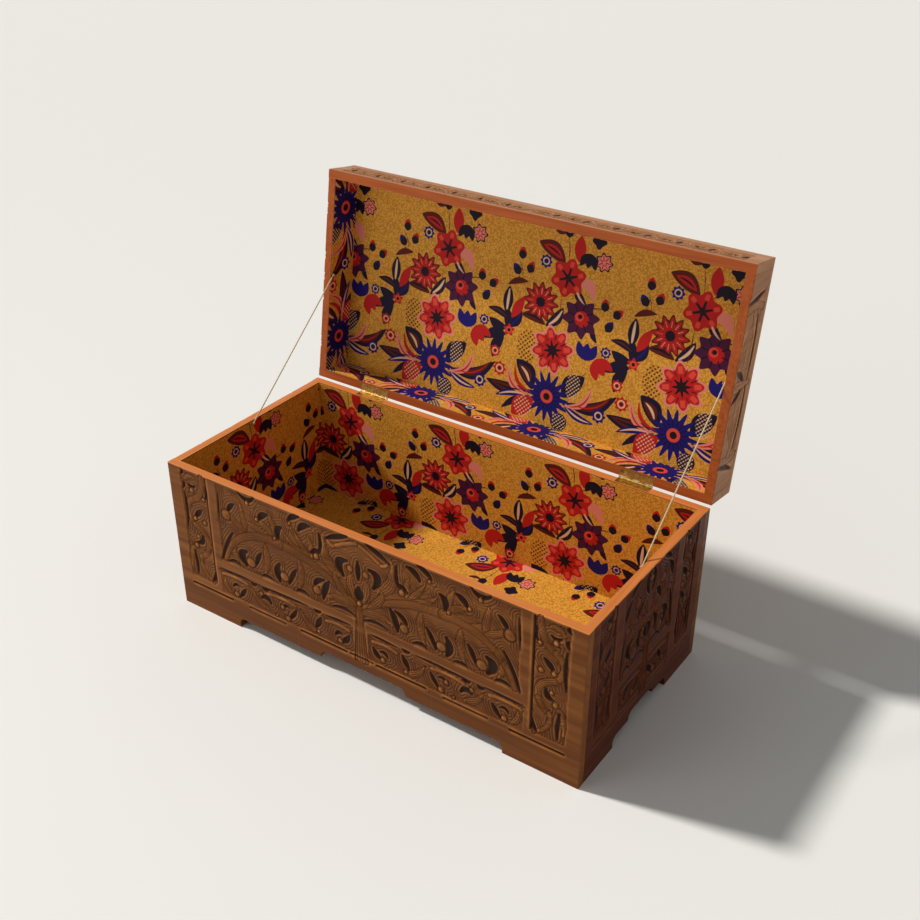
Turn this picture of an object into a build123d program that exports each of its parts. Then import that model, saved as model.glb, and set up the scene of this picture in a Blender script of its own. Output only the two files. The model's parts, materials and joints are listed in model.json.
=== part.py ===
from build123d import *
import os
from math import cos, radians, sin

# A carved hardwood dowry chest with a lined box and a lined, hinged lid.
# Millimetres. Origin: on the ground, in the middle of the floor that the open chest takes
# up. +X is the right-hand end, -Y the front, +Z up. The lid stands open on its cord stays.

# ---------------------------------------------------------------- case
width = 1000.0
depth = 480.0
box_height = 357.0
lid_height = 91.0
board = 19.0                # front, back and end boards of the box and the lid
lid_top = 12.0              # thin board that closes the lid
rim_gap = 1.5               # daylight between the two rims when the lid is shut
floor_top = 69.0            # upper face of the box floor
floor_board_thickness = 9.0
cleat_height = 12.0
cleat_width = 16.0
lining = 1.0                # cloth on its backing, glued to the wood
lining_reveal = 2.0         # bare wood between the cloth and the rim

# ---------------------------------------------------------------- apron under each board
foot_length = 165.0         # from the outside corner of the case to the cut-out
end_foot_length = 130.0
apron_rise = 25.0           # cut-out beside the feet
apron_crown = 42.0          # cut-out in the middle
crown_half_width = 108.0
end_crown_half_width = 50.0
foot_curve = 14.0           # quarter round where the foot meets the cut-out

# ---------------------------------------------------------------- carving layout
carve_depth = 6.0           # ground of the box carving below the face
lid_carve_depth = 4.0
outer_stile = 30.0          # plain wood from the corner to the carved column
column_width = 66.0
inner_stile = 32.0
end_outer_stile = 48.0
end_column_width = 56.0
end_inner_stile = 28.0
rim_margin = 6.0            # plain wood under the rim
column_low = 92.0
field_low = 166.0
band_high = 140.0
band_low = 76.0
groove_height = 68.0        # broken line cut above the plain base
groove_width = 3.0
groove_depth = 3.0
groove_gap = 14.0
groove_sections = 5
end_groove_sections = 2
scroll_size = 42.0          # reach of a large scroll of the front
small_scroll = 25.0
band_scroll = 24.0
field_start = 0.3           # first scroll of a field, in half widths of the field
field_share = 0.72          # what the scrolls take up of it
vine_pitch = 80.0           # from bend to bend of a climbing stem
gouge_facets = 3            # chip cuts along each side of a hollow
hook_facets = 6
hook_start = -50.0
hook_sweep = 285.0
hook_reach = 0.52           # all three in sizes of the scroll
hook_half_width = 0.17
scroll_rise = 0.68          # eye of a large scroll over the foot of its field, in sizes
small_scroll_drop = 1.2     # eye of a hanging scroll under the head of its field, in sizes
band_scroll_rise = 0.4      # eye of a scroll of the band, in heights of the band
spray_shift = 0.1           # foot of a spray beside the scroll under it, in pitches
lid_band_margin = 12.0
lid_end_margin = 34.0
top_border = 44.0           # carved border strip of the lid top
top_frame = 26.0
top_rib = 20.0              # plain wood between the border and the field of the lid top
top_petals = 8
top_rosette_reach = 72.0

# ---------------------------------------------------------------- motifs
# Each hollow of a motif: start, middle, end, and width, all in sizes of the motif.
scroll_hood = (((-0.95, -0.5), (-0.86, 0.42), (-0.12, 0.94), 0.2),)
spray = (
    ((0.05, 0.25), (0.08, 0.7), (0.2, 1.0), 0.11),
    ((0.23, 0.25), (0.41, 0.7), (0.98, 1.0), 0.11),
)
plant_hollows = (
    ((0.12, 0.03), (0.3, 0.08), (0.5, 0.03), 0.05),
    ((0.46, 0.15), (0.54, 0.23), (0.48, 0.32), 0.08),
    ((0.04, 0.24), (0.1, 0.34), (0.05, 0.45), 0.06),
    ((0.2, 0.4), (0.3, 0.3), (0.34, 0.46), 0.06),
    ((0.04, 0.72), (0.07, 0.8), (0.04, 0.88), 0.04),
    ((0.1, 0.97), (0.26, 0.95), (0.42, 0.88), 0.06),
)
plant_scroll = (0.16, 0.65)
bar = (((-0.38, 0.0), (0.0, 0.02), (0.38, 0.0), 0.04),)
climbing_bend = (
    ((0.92, -0.4), (0.72, 0.0), (0.92, 0.4), 0.2),
    ((-0.1, -0.22), (-0.5, 0.0), (-0.1, 0.22), 0.34),
)
running_bend = (((-0.3, -0.5), (0.0, 0.1), (0.3, -0.5), 0.36),)
lobed_panel = (
    ((0.05, 0.9), (0.4, 1.0), (0.72, 0.8), 0.06),
    ((0.06, 0.0), (0.16, 0.3), (0.05, 0.6), 0.06),
    ((0.84, 0.0), (0.88, 0.6), (0.98, 1.0), 0.06),
)
petal = (((0.33, 0.0), (0.66, 0.0), (1.0, 0.0), 0.2),)

# ---------------------------------------------------------------- hinges
hinge_inset = 165.0         # middle of a hinge from the end of the case
hinge_length = 76.0
leaf_width = 16.0
leaf_thickness = 1.6
pivot_offset = 3.2          # pin axis behind the back face
knuckle_radius = 2.7
knuckle_count = 5
knuckle_gap = 0.3
pin_radius = 1.3
pin_fit = 0.05              # radial running clearance of the pin
barrel_facets = 12
recess_fit = 0.1
open_angle = 99.0           # how far the stays let the lid swing

# ---------------------------------------------------------------- screws, dowels and stays
screw_radius = 1.75
screw_head_radius = 3.4     # to the flats of the head
countersink = 1.55
screw_length = 15.0
screws_per_leaf = 3
screw_pitch = 26.0
shank_facets = 6
head_facets = 10
hole_fit = 0.05
dowel_side = 7.0            # the corners are held by square dowels
dowel_in_board = 11.0
dowel_in_end = 20.0
dowel_count = 3
lid_dowel_count = 2
dowel_margin = 30.0         # from the rim or the base to the first dowel
lid_dowel_margin = 18.0
stay_from_pivot = 248.0     # anchor of a stay, measured forward from the pin axis
stay_below_rim = 7.0
stay_screw_radius = 1.5
stay_head_radius = 3.5
stay_head_rim = 0.8
stay_head_dome = 1.0
stay_facets = 8
stay_screw_grip = 12.0      # how deep the anchor screw goes into the wood
stay_stand_off = 4.6        # from the cloth to the head of the anchor screw
stay_cord_radius = 1.5
stay_seat = 0.2             # between the end of a stay and the shank it is tied to

# ---------------------------------------------------------------- derived places
lean = radians(open_angle)
lid_overhang = pivot_offset - (depth + pivot_offset) * cos(lean) + (lid_height + rim_gap / 2) * sin(lean)
case_y = -lid_overhang / 2  # middle of the case, so that the open chest is centred on Y
front_face = case_y - depth / 2
back_face = case_y + depth / 2
right_face = width / 2
inner_x = width / 2 - board
inner_y = depth / 2 - board
cloth_x = inner_x - lining
cloth_y = inner_y - lining
lid_rim = box_height + rim_gap
lid_side_top = lid_rim + lid_height - lid_top
lid_crest = lid_rim + lid_height
pivot_y = back_face + pivot_offset
pivot_z = box_height + rim_gap / 2
knuckle_length = (hinge_length - (knuckle_count - 1) * knuckle_gap) / knuckle_count
end_length = depth - 2 * board
field_half = width / 2 - outer_stile - column_width - inner_stile
end_field_half = depth / 2 - end_outer_stile - end_column_width - end_inner_stile
hinge_spacing = width - 2 * hinge_inset
screw_neck_radius = screw_head_radius - countersink
sides = (("left", -1), ("right", 1))

pivot = Location((0, pivot_y, pivot_z))
lid_open = pivot * Location((0, 0, 0), (-open_angle, 0, 0)) * pivot.inverse()


def on_lid(plane):
    """Swing a plane of the shut lid to where the open lid holds it."""
    return Plane(lid_open * plane.location)


def level(height):
    """Level plane at a height, with its origin over the middle of the case."""
    return Plane(origin=(0, case_y, height), x_dir=(1, 0, 0), z_dir=(0, 0, 1))


def front_plane(height=0.0):
    """Outer face of the front, seen from outside, with its origin at the given height."""
    return Plane(origin=(0, front_face, height), x_dir=(1, 0, 0), z_dir=(0, -1, 0))


def back_plane(height=0.0):
    """Outer face of the back, seen from outside."""
    return Plane(origin=(0, back_face, height), x_dir=(-1, 0, 0), z_dir=(0, 1, 0))


def end_plane(side, height=0.0):
    """Outer face of the left (-1) or right (1) end, seen from outside."""
    return Plane(origin=(side * right_face, case_y, height), x_dir=(0, side, 0), z_dir=(side, 0, 0))


def end_grain(y, way):
    """Upright plane across the case at y from its middle, facing the back (1) or the front (-1)."""
    return Plane(origin=(0, case_y + y, 0), x_dir=(1, 0, 0), z_dir=(0, way, 0))


# ---------------------------------------------------------------- outlines
def apron_outline(half, foot, crown_half):
    """Face of a box board: square above, with a bracket cut-out between two feet."""
    foot_inner = half - foot
    step = apron_crown - apron_rise
    turn = sin(radians(45))
    with BuildSketch() as face:
        with BuildLine():
            Line((0, apron_crown), (crown_half - step, apron_crown))
            ThreePointArc(
                (crown_half - step, apron_crown),
                (crown_half - step * (1 - turn), apron_rise + step * turn),
                (crown_half, apron_rise),
            )
            Line((crown_half, apron_rise), (foot_inner - foot_curve, apron_rise))
            ThreePointArc(
                (foot_inner - foot_curve, apron_rise),
                (foot_inner - foot_curve * (1 - turn), apron_rise - foot_curve * (1 - turn)),
                (foot_inner, apron_rise - foot_curve),
            )
            Line((foot_inner, apron_rise - foot_curve), (foot_inner, 0))
            Line((foot_inner, 0), (half, 0))
            Line((half, 0), (half, box_height))
            Line((half, box_height), (0, box_height))
            mirror(about=Plane.YZ)
        make_face()
    return face.sketch


# ---------------------------------------------------------------- ornament
# The foliage stands at the face of the board; these are the hollows cut between its stems,
# leaves and scrolls.
def gouge(start, middle, end, cut_width):
    """A bowed chip cut that passes through three points and is pointed at both ends."""
    foot = Vector(*start)
    run = Vector(*end) - foot
    bow = Vector(*middle) - foot - run / 2
    across = Vector(-run.Y, run.X).normalized() * cut_width / 2
    near = []
    far = []
    for step in range(1, gouge_facets):
        share = step / gouge_facets
        swell = 4 * share * (1 - share)
        spot = foot + run * share + bow * swell
        near.append(spot - across * swell)
        far.append(spot + across * swell)
    Polygon(foot, *near, foot + run, *reversed(far), align=None)


def hook(eye, size, way):
    """The hollow that curls round the eye of a scroll, pointed at both ends."""
    outer = []
    inner = []
    for step in range(hook_facets + 1):
        share = step / hook_facets
        angle = radians(hook_start + hook_sweep * share)
        aim = Vector(cos(angle), way * sin(angle)) * size
        half_width = hook_half_width * 4 * share * (1 - share)
        outer.append(eye + aim * (hook_reach + half_width))
        inner.append(eye + aim * (hook_reach - half_width))
    Polygon(*outer, *reversed(inner[1:-1]), align=None)


def hollow_out(motif, foot, along, up, unit):
    """Draw a motif from its foot, with its sizes along and up, and the size of its widths."""
    for start, middle, end, cut_width in motif:
        spots = [(foot[0] + along * u, foot[1] + up * v) for u, v in (start, middle, end)]
        gouge(*spots, unit * cut_width)


def scroll(x, y, size, way=1):
    """A scroll: the hollow round its eye and the cut that sets off its hood."""
    hook(Vector(x, y), size, way)
    hollow_out(scroll_hood, (x, y), size, way * size, size)


def plant(low, high):
    """The plant in the middle: hollows under its low leaves, in its bell and round its bud."""
    rise = high - low
    with BuildSketch() as hollows:
        hollow_out(plant_hollows, (0, low), rise, rise, rise)
        scroll(plant_scroll[0] * rise, low + plant_scroll[1] * rise, small_scroll)
        mirror(about=Plane.YZ)
    return hollows.sketch


def scroll_places(half, scrolls):
    """Where the scrolls of a field stand, from the middle outwards, and how far apart."""
    pitch = half * field_share / scrolls
    return [half * field_start + pitch * index for index in range(scrolls)], pitch


def field(half, low, high, scrolls):
    """Both flanks of a field: hooded scrolls below, small hanging scrolls above."""
    places, pitch = scroll_places(half, scrolls)
    with BuildSketch() as hollows:
        for place in places:
            scroll(place, low + scroll_size * scroll_rise, scroll_size)
            scroll(place + pitch / 3, high - small_scroll * small_scroll_drop, small_scroll, -1)
        mirror(about=Plane.YZ)
    return hollows.sketch


def sprays(half, low, high, scrolls):
    """The fans of leaves that grow over the scrolls of a field."""
    places, pitch = scroll_places(half, scrolls)
    size = (high - low) / 4
    with BuildSketch() as hollows:
        for place in places:
            hollow_out(spray, (place + pitch * spray_shift, low + 2 * size), size, size, size)
        mirror(about=Plane.YZ)
    return hollows.sketch


def band(half, low, high, scrolls):
    """A low band: small scrolls under bars, with a cut over each bar."""
    pitch = half / scrolls
    with BuildSketch() as hollows:
        for index in range(scrolls):
            place = pitch * (index + 1 / 2)
            scroll(place, low + (high - low) * band_scroll_rise, band_scroll)
            hollow_out(bar, (place, high), pitch, pitch, pitch)
        mirror(about=Plane.YZ)
    return hollows.sketch


def column(middle, half, low, high):
    """A column with a climbing stem: hollows beside it and in each of its bends."""
    turns = round((high - low) / vine_pitch)
    step = (high - low) / turns
    with BuildSketch() as hollows:
        for index in range(turns):
            way = 1 if index % 2 else -1
            hollow_out(climbing_bend, (middle, low + step * (index + 1 / 2)), way * half, step, half)
    return hollows.sketch


def strip(half, low, high):
    """A level strip with a running stem: one hollow in each bend, over and under in turn."""
    turns = 2 * round(half / vine_pitch)
    step = 2 * half / turns
    swing = (high - low) / 2
    with BuildSketch() as hollows:
        for index in range(turns):
            way = 1 if index % 2 else -1
            hollow_out(running_bend, (step * (index + 1 / 2) - half, low + swing), step, way * swing, swing)
    return hollows.sketch


def lid_panel(half, low, high):
    """A lid end: a panel with two lobes, a bud between them and a bowed cut at each side."""
    with BuildSketch() as hollows:
        hollow_out(lobed_panel, (0, low), half, high - low, half)
        mirror(about=Plane.YZ)
    return hollows.sketch


def rosette(petals, reach):
    """A ring of pointed petals round the middle."""
    with BuildSketch() as hollows:
        with PolarLocations(0, petals):
            hollow_out(petal, (0, 0), reach, reach, reach)
    return hollows.sketch


def grooves(half, sections):
    """The broken line above the base: equal cuts with short gaps between them."""
    pitch = 2 * half / sections
    with BuildSketch() as cuts:
        with Locations((0, groove_height)):
            with GridLocations(pitch, 1, sections, 1):
                Rectangle(pitch - groove_gap, groove_width)
    return cuts.sketch


def laid(plane, sketch):
    """Lay a drawn sketch on a face."""
    return plane * sketch


os.makedirs("parts", exist_ok=True)

# ================================================================ box boards
field_high = box_height - rim_margin
column_middle = width / 2 - outer_stile - column_width / 2
band_half = width / 2 - outer_stile - column_width - inner_stile
front_face_outline = apron_outline(width / 2, foot_length, crown_half_width)
front_carving = [
    plant(field_low, field_high),
    field(field_half, field_low, field_high, 3),
    sprays(field_half, field_low, field_high, 3),
    band(band_half, band_low, band_high, 3),
    column(-column_middle, column_width / 2, column_low, field_high),
    column(column_middle, column_width / 2, column_low, field_high),
]
dowel_run = box_height - groove_height - 2 * dowel_margin
dowel_heights = [
    groove_height + dowel_margin + index * dowel_run / (dowel_count - 1) for index in range(dowel_count)
]
dowel_x = width / 2 - board / 2
dowel_hole = dowel_side + 2 * hole_fit
dowel_places = [(side * dowel_x, height) for name, side in sides for height in dowel_heights]

with BuildPart() as front_board:
    extrude(laid(front_plane(), front_face_outline), amount=-board)
    for ground in front_carving:
        extrude(laid(front_plane(), ground), amount=-carve_depth, mode=Mode.SUBTRACT)
    extrude(laid(front_plane(), grooves(band_half, groove_sections)), amount=-groove_depth, mode=Mode.SUBTRACT)
    with BuildSketch(front_plane().offset(-board)):
        with Locations(*dowel_places):
            Rectangle(dowel_hole, dowel_hole)
    extrude(amount=dowel_in_board, mode=Mode.SUBTRACT)
front_board.part.label = "front_board"
export_step(front_board.part, "parts/front_board.step")

leaf_y = depth / 2 - leaf_width / 2
hinge_places = [(side * hinge_spacing / 2, leaf_y) for name, side in sides]
screw_offsets = [(index - (screws_per_leaf - 1) / 2) * screw_pitch for index in range(screws_per_leaf)]
screw_places = [(x + offset, y) for x, y in hinge_places for offset in screw_offsets]

with BuildPart() as back_board:
    extrude(laid(back_plane(), front_face_outline), amount=-board)
    with BuildSketch(back_plane().offset(-board)):
        with Locations(*dowel_places):
            Rectangle(dowel_hole, dowel_hole)
    extrude(amount=dowel_in_board, mode=Mode.SUBTRACT)
    with BuildSketch(level(box_height)):
        with Locations(*hinge_places):
            Rectangle(hinge_length + 2 * recess_fit, leaf_width)
    extrude(amount=-leaf_thickness, mode=Mode.SUBTRACT)
    with BuildSketch(level(box_height)):
        with Locations(*screw_places):
            RegularPolygon(screw_radius + hole_fit, shank_facets)
    extrude(amount=-screw_length - hole_fit, mode=Mode.SUBTRACT)
back_board.part.label = "back_board"
export_step(back_board.part, "parts/back_board.step")

end_face_outline = apron_outline(end_length / 2, end_foot_length - board, end_crown_half_width)
end_column_middle = depth / 2 - end_outer_stile - end_column_width / 2
end_band_half = depth / 2 - end_outer_stile - end_inner_stile / 3
end_carving = [
    plant(field_low, field_high),
    field(end_field_half, field_low, field_high, 1),
    sprays(end_field_half, field_low, field_high, 1),
    band(end_field_half, band_low, band_high, 1),
    column(-end_column_middle, end_column_width / 2, column_low, field_high),
    column(end_column_middle, end_column_width / 2, column_low, field_high),
]
end_grooves = grooves(end_band_half, end_groove_sections)
stay_y = depth / 2 + pivot_offset - stay_from_pivot
stay_box_z = box_height - stay_below_rim

for name, side in sides:
    with BuildPart() as end_board:
        extrude(laid(end_plane(side), end_face_outline), amount=-board)
        for ground in end_carving:
            extrude(laid(end_plane(side), ground), amount=-carve_depth, mode=Mode.SUBTRACT)
        extrude(laid(end_plane(side), end_grooves), amount=-groove_depth, mode=Mode.SUBTRACT)
        for y in (-inner_y, inner_y):
            outward = 1 if y > 0 else -1
            with BuildSketch(end_grain(y, outward)):
                with Locations(*[(side * dowel_x, -outward * height) for height in dowel_heights]):
                    Rectangle(dowel_hole, dowel_hole)
            extrude(amount=-dowel_in_end - hole_fit, mode=Mode.SUBTRACT)
        with BuildSketch(end_plane(side, stay_box_z).offset(-board)):
            with Locations((side * stay_y, 0)):
                RegularPolygon(stay_screw_radius + hole_fit, shank_facets)
        extrude(amount=stay_screw_grip, mode=Mode.SUBTRACT)
    end_board.part.label = f"{name}_end_board"
    export_step(end_board.part, f"parts/{name}_end_board.step")

# ================================================================ box floor, cleats and dowels
floor_under = floor_top - floor_board_thickness
cleat_low = floor_under - cleat_height

with BuildPart() as floor_board:
    with BuildSketch(level(floor_under)):
        Rectangle(2 * inner_x, 2 * inner_y)
    extrude(amount=floor_board_thickness)
floor_board.part.label = "floor_board"
export_step(floor_board.part, "parts/floor_board.step")

for name, side in (("front", -1), ("back", 1)):
    with BuildPart() as long_cleat:
        with BuildSketch(level(cleat_low)):
            with Locations((0, side * (inner_y - cleat_width / 2))):
                Rectangle(2 * inner_x, cleat_width)
        extrude(amount=cleat_height)
    long_cleat.part.label = f"{name}_cleat"
    export_step(long_cleat.part, f"parts/{name}_cleat.step")

for name, side in sides:
    with BuildPart() as short_cleat:
        with BuildSketch(level(cleat_low)):
            with Locations((side * (inner_x - cleat_width / 2), 0)):
                Rectangle(cleat_width, 2 * (inner_y - cleat_width))
        extrude(amount=cleat_height)
    short_cleat.part.label = f"{name}_cleat"
    export_step(short_cleat.part, f"parts/{name}_cleat.step")

with BuildPart() as corner_dowels:
    for way in (-1, 1):
        start = way * (inner_y - dowel_in_end)
        with BuildSketch(end_grain(start, way)):
            with Locations(*[(x, -way * height) for x, height in dowel_places]):
                Rectangle(dowel_side, dowel_side)
        extrude(amount=dowel_in_end + dowel_in_board)
corner_dowels.part.label = "corner_dowels"
export_step(corner_dowels.part, "parts/corner_dowels.step")

# ================================================================ box linings
cloth_low = floor_top
cloth_high = box_height - lining_reveal
cloth_rise = cloth_high - cloth_low

with BuildPart() as floor_lining:
    with BuildSketch(level(floor_top)):
        Rectangle(2 * cloth_x, 2 * cloth_y)
    extrude(amount=lining)
floor_lining.part.label = "floor_lining"
export_step(floor_lining.part, "parts/floor_lining.step")

for name, side in (("front", -1), ("back", 1)):
    with BuildPart() as long_lining:
        with BuildSketch(level(cloth_low)):
            with Locations((0, side * (inner_y - lining / 2))):
                Rectangle(2 * inner_x, lining)
        extrude(amount=cloth_rise)
    long_lining.part.label = f"{name}_lining"
    export_step(long_lining.part, f"parts/{name}_lining.step")

for name, side in sides:
    with BuildPart() as end_lining:
        with BuildSketch(level(cloth_low)):
            with Locations((side * (inner_x - lining / 2), 0)):
                Rectangle(lining, 2 * cloth_y)
        extrude(amount=cloth_rise)
        with BuildSketch(end_plane(side, stay_box_z).offset(-board)):
            with Locations((side * stay_y, 0)):
                RegularPolygon(stay_screw_radius + hole_fit, shank_facets)
        extrude(amount=-lining, mode=Mode.SUBTRACT)
    end_lining.part.label = f"{name}_lining"
    export_step(end_lining.part, f"parts/{name}_lining.step")

# ================================================================ lid boards
lid_side_height = lid_side_top - lid_rim
lid_dowel_places = [
    (side * dowel_x, lid_rim + lid_dowel_margin + index * (lid_side_height - 2 * lid_dowel_margin))
    for name, side in sides
    for index in range(lid_dowel_count)
]
lid_band_low = lid_rim + lid_band_margin
lid_band_high = lid_side_top - lid_band_margin
lid_front_ground = strip(width / 2 - outer_stile, lid_band_low, lid_band_high)

with BuildPart() as lid_front_board:
    with BuildSketch(on_lid(front_plane(lid_rim + lid_side_height / 2))):
        Rectangle(width, lid_side_height)
    extrude(amount=-board)
    extrude(laid(on_lid(front_plane()), lid_front_ground), amount=-lid_carve_depth, mode=Mode.SUBTRACT)
    with BuildSketch(on_lid(front_plane().offset(-board))):
        with Locations(*lid_dowel_places):
            Rectangle(dowel_hole, dowel_hole)
    extrude(amount=dowel_in_board, mode=Mode.SUBTRACT)
lid_front_board.part.label = "lid_front_board"
export_step(lid_front_board.part, "parts/lid_front_board.step")

with BuildPart() as lid_back_board:
    with BuildSketch(on_lid(back_plane(lid_rim + lid_side_height / 2))):
        Rectangle(width, lid_side_height)
    extrude(amount=-board)
    with BuildSketch(on_lid(back_plane().offset(-board))):
        with Locations(*lid_dowel_places):
            Rectangle(dowel_hole, dowel_hole)
    extrude(amount=dowel_in_board, mode=Mode.SUBTRACT)
    with BuildSketch(on_lid(level(lid_rim))):
        with Locations(*hinge_places):
            Rectangle(hinge_length + 2 * recess_fit, leaf_width)
    extrude(amount=leaf_thickness, mode=Mode.SUBTRACT)
    with BuildSketch(on_lid(level(lid_rim))):
        with Locations(*screw_places):
            RegularPolygon(screw_radius + hole_fit, shank_facets)
    extrude(amount=screw_length + hole_fit, mode=Mode.SUBTRACT)
lid_back_board.part.label = "lid_back_board"
export_step(lid_back_board.part, "parts/lid_back_board.step")

stay_lid_z = lid_rim + stay_below_rim
lid_end_ground = lid_panel(end_length / 2 - lid_end_margin, lid_rim + rim_margin, lid_band_high)

for name, side in sides:
    with BuildPart() as lid_end_board:
        with BuildSketch(on_lid(end_plane(side, lid_rim + lid_side_height / 2))):
            Rectangle(end_length, lid_side_height)
        extrude(amount=-board)
        extrude(laid(on_lid(end_plane(side)), lid_end_ground), amount=-lid_carve_depth, mode=Mode.SUBTRACT)
        for y in (-inner_y, inner_y):
            outward = 1 if y > 0 else -1
            own_dowels = [(x, -outward * height) for x, height in lid_dowel_places if x * side > 0]
            with BuildSketch(on_lid(end_grain(y, outward))):
                with Locations(*own_dowels):
                    Rectangle(dowel_hole, dowel_hole)
            extrude(amount=-dowel_in_end - hole_fit, mode=Mode.SUBTRACT)
        with BuildSketch(on_lid(end_plane(side, stay_lid_z).offset(-board))):
            with Locations((side * stay_y, 0)):
                RegularPolygon(stay_screw_radius + hole_fit, shank_facets)
        extrude(amount=stay_screw_grip, mode=Mode.SUBTRACT)
    lid_end_board.part.label = f"lid_{name}_end_board"
    export_step(lid_end_board.part, f"parts/lid_{name}_end_board.step")

with BuildPart() as lid_dowels:
    for way in (-1, 1):
        start = way * (inner_y - dowel_in_end)
        with BuildSketch(on_lid(end_grain(start, way))):
            with Locations(*[(x, -way * height) for x, height in lid_dowel_places]):
                Rectangle(dowel_side, dowel_side)
        extrude(amount=dowel_in_end + dowel_in_board)
lid_dowels.part.label = "lid_dowels"
export_step(lid_dowels.part, "parts/lid_dowels.step")

top_border_middle = top_frame + top_border / 2
top_field_half = width / 2 - top_border_middle - top_border / 2 - top_rib
top_field_depth = depth / 2 - top_border_middle - top_border / 2 - top_rib
top_field = field(top_field_half, top_rib / 2, top_field_depth, 2)
top_rosette = rosette(top_petals, top_rosette_reach)
top_strip = strip(width / 2 - top_frame, depth / 2 - top_frame - top_border, depth / 2 - top_frame)
top_column = column(width / 2 - top_border_middle, top_border / 2, -top_field_depth, top_field_depth)


def top_plane(way):
    """Upper face of the shut lid, seen from above; way -1 is turned half round."""
    return Plane(origin=(0, case_y, lid_crest), x_dir=(way, 0, 0), z_dir=(0, 0, 1))


with BuildPart() as lid_top_board:
    with BuildSketch(on_lid(level(lid_side_top))):
        Rectangle(width, depth)
    extrude(amount=lid_top)
    for way in (-1, 1):
        for ground in (top_field, top_strip, top_column):
            extrude(laid(on_lid(top_plane(way)), ground), amount=-lid_carve_depth, mode=Mode.SUBTRACT)
    extrude(laid(on_lid(top_plane(1)), top_rosette), amount=-lid_carve_depth, mode=Mode.SUBTRACT)
lid_top_board.part.label = "lid_top_board"
export_step(lid_top_board.part, "parts/lid_top_board.step")

# ================================================================ lid linings
lid_cloth_low = lid_rim + lining_reveal
lid_cloth_rise = lid_side_top - lid_cloth_low

with BuildPart() as lid_top_lining:
    with BuildSketch(on_lid(level(lid_side_top))):
        Rectangle(2 * cloth_x, 2 * cloth_y)
    extrude(amount=-lining)
lid_top_lining.part.label = "lid_top_lining"
export_step(lid_top_lining.part, "parts/lid_top_lining.step")

for name, side in (("front", -1), ("back", 1)):
    with BuildPart() as lid_long_lining:
        with BuildSketch(on_lid(level(lid_cloth_low))):
            with Locations((0, side * (inner_y - lining / 2))):
                Rectangle(2 * inner_x, lining)
        extrude(amount=lid_cloth_rise)
    lid_long_lining.part.label = f"lid_{name}_lining"
    export_step(lid_long_lining.part, f"parts/lid_{name}_lining.step")

for name, side in sides:
    with BuildPart() as lid_end_lining:
        with BuildSketch(on_lid(level(lid_cloth_low))):
            with Locations((side * (inner_x - lining / 2), 0)):
                Rectangle(lining, 2 * cloth_y)
        extrude(amount=lid_cloth_rise)
        with BuildSketch(on_lid(end_plane(side, stay_lid_z).offset(-board))):
            with Locations((side * stay_y, 0)):
                RegularPolygon(stay_screw_radius + hole_fit, shank_facets)
        extrude(amount=-lining, mode=Mode.SUBTRACT)
    lid_end_lining.part.label = f"lid_{name}_lining"
    export_step(lid_end_lining.part, f"parts/lid_{name}_lining.step")


# ================================================================ hinges
def knuckle_start(index):
    """Distance of a knuckle from the left end of its hinge."""
    return index * (knuckle_length + knuckle_gap)


def small_edges(piece, plane):
    """The edges of the screw heads or holes of a piece that lie on a plane."""
    on_plane = [edge for edge in piece.edges() if abs(plane.to_local_coords(edge.center()).Z) < hole_fit]
    return [edge for edge in on_plane if edge.length < screw_head_radius]


def barrel_plane(x):
    """Plane across the pin axis at a distance x from the middle of the case."""
    return Plane(origin=(x, pivot_y, pivot_z), x_dir=(0, 1, 0), z_dir=(1, 0, 0))


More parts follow.
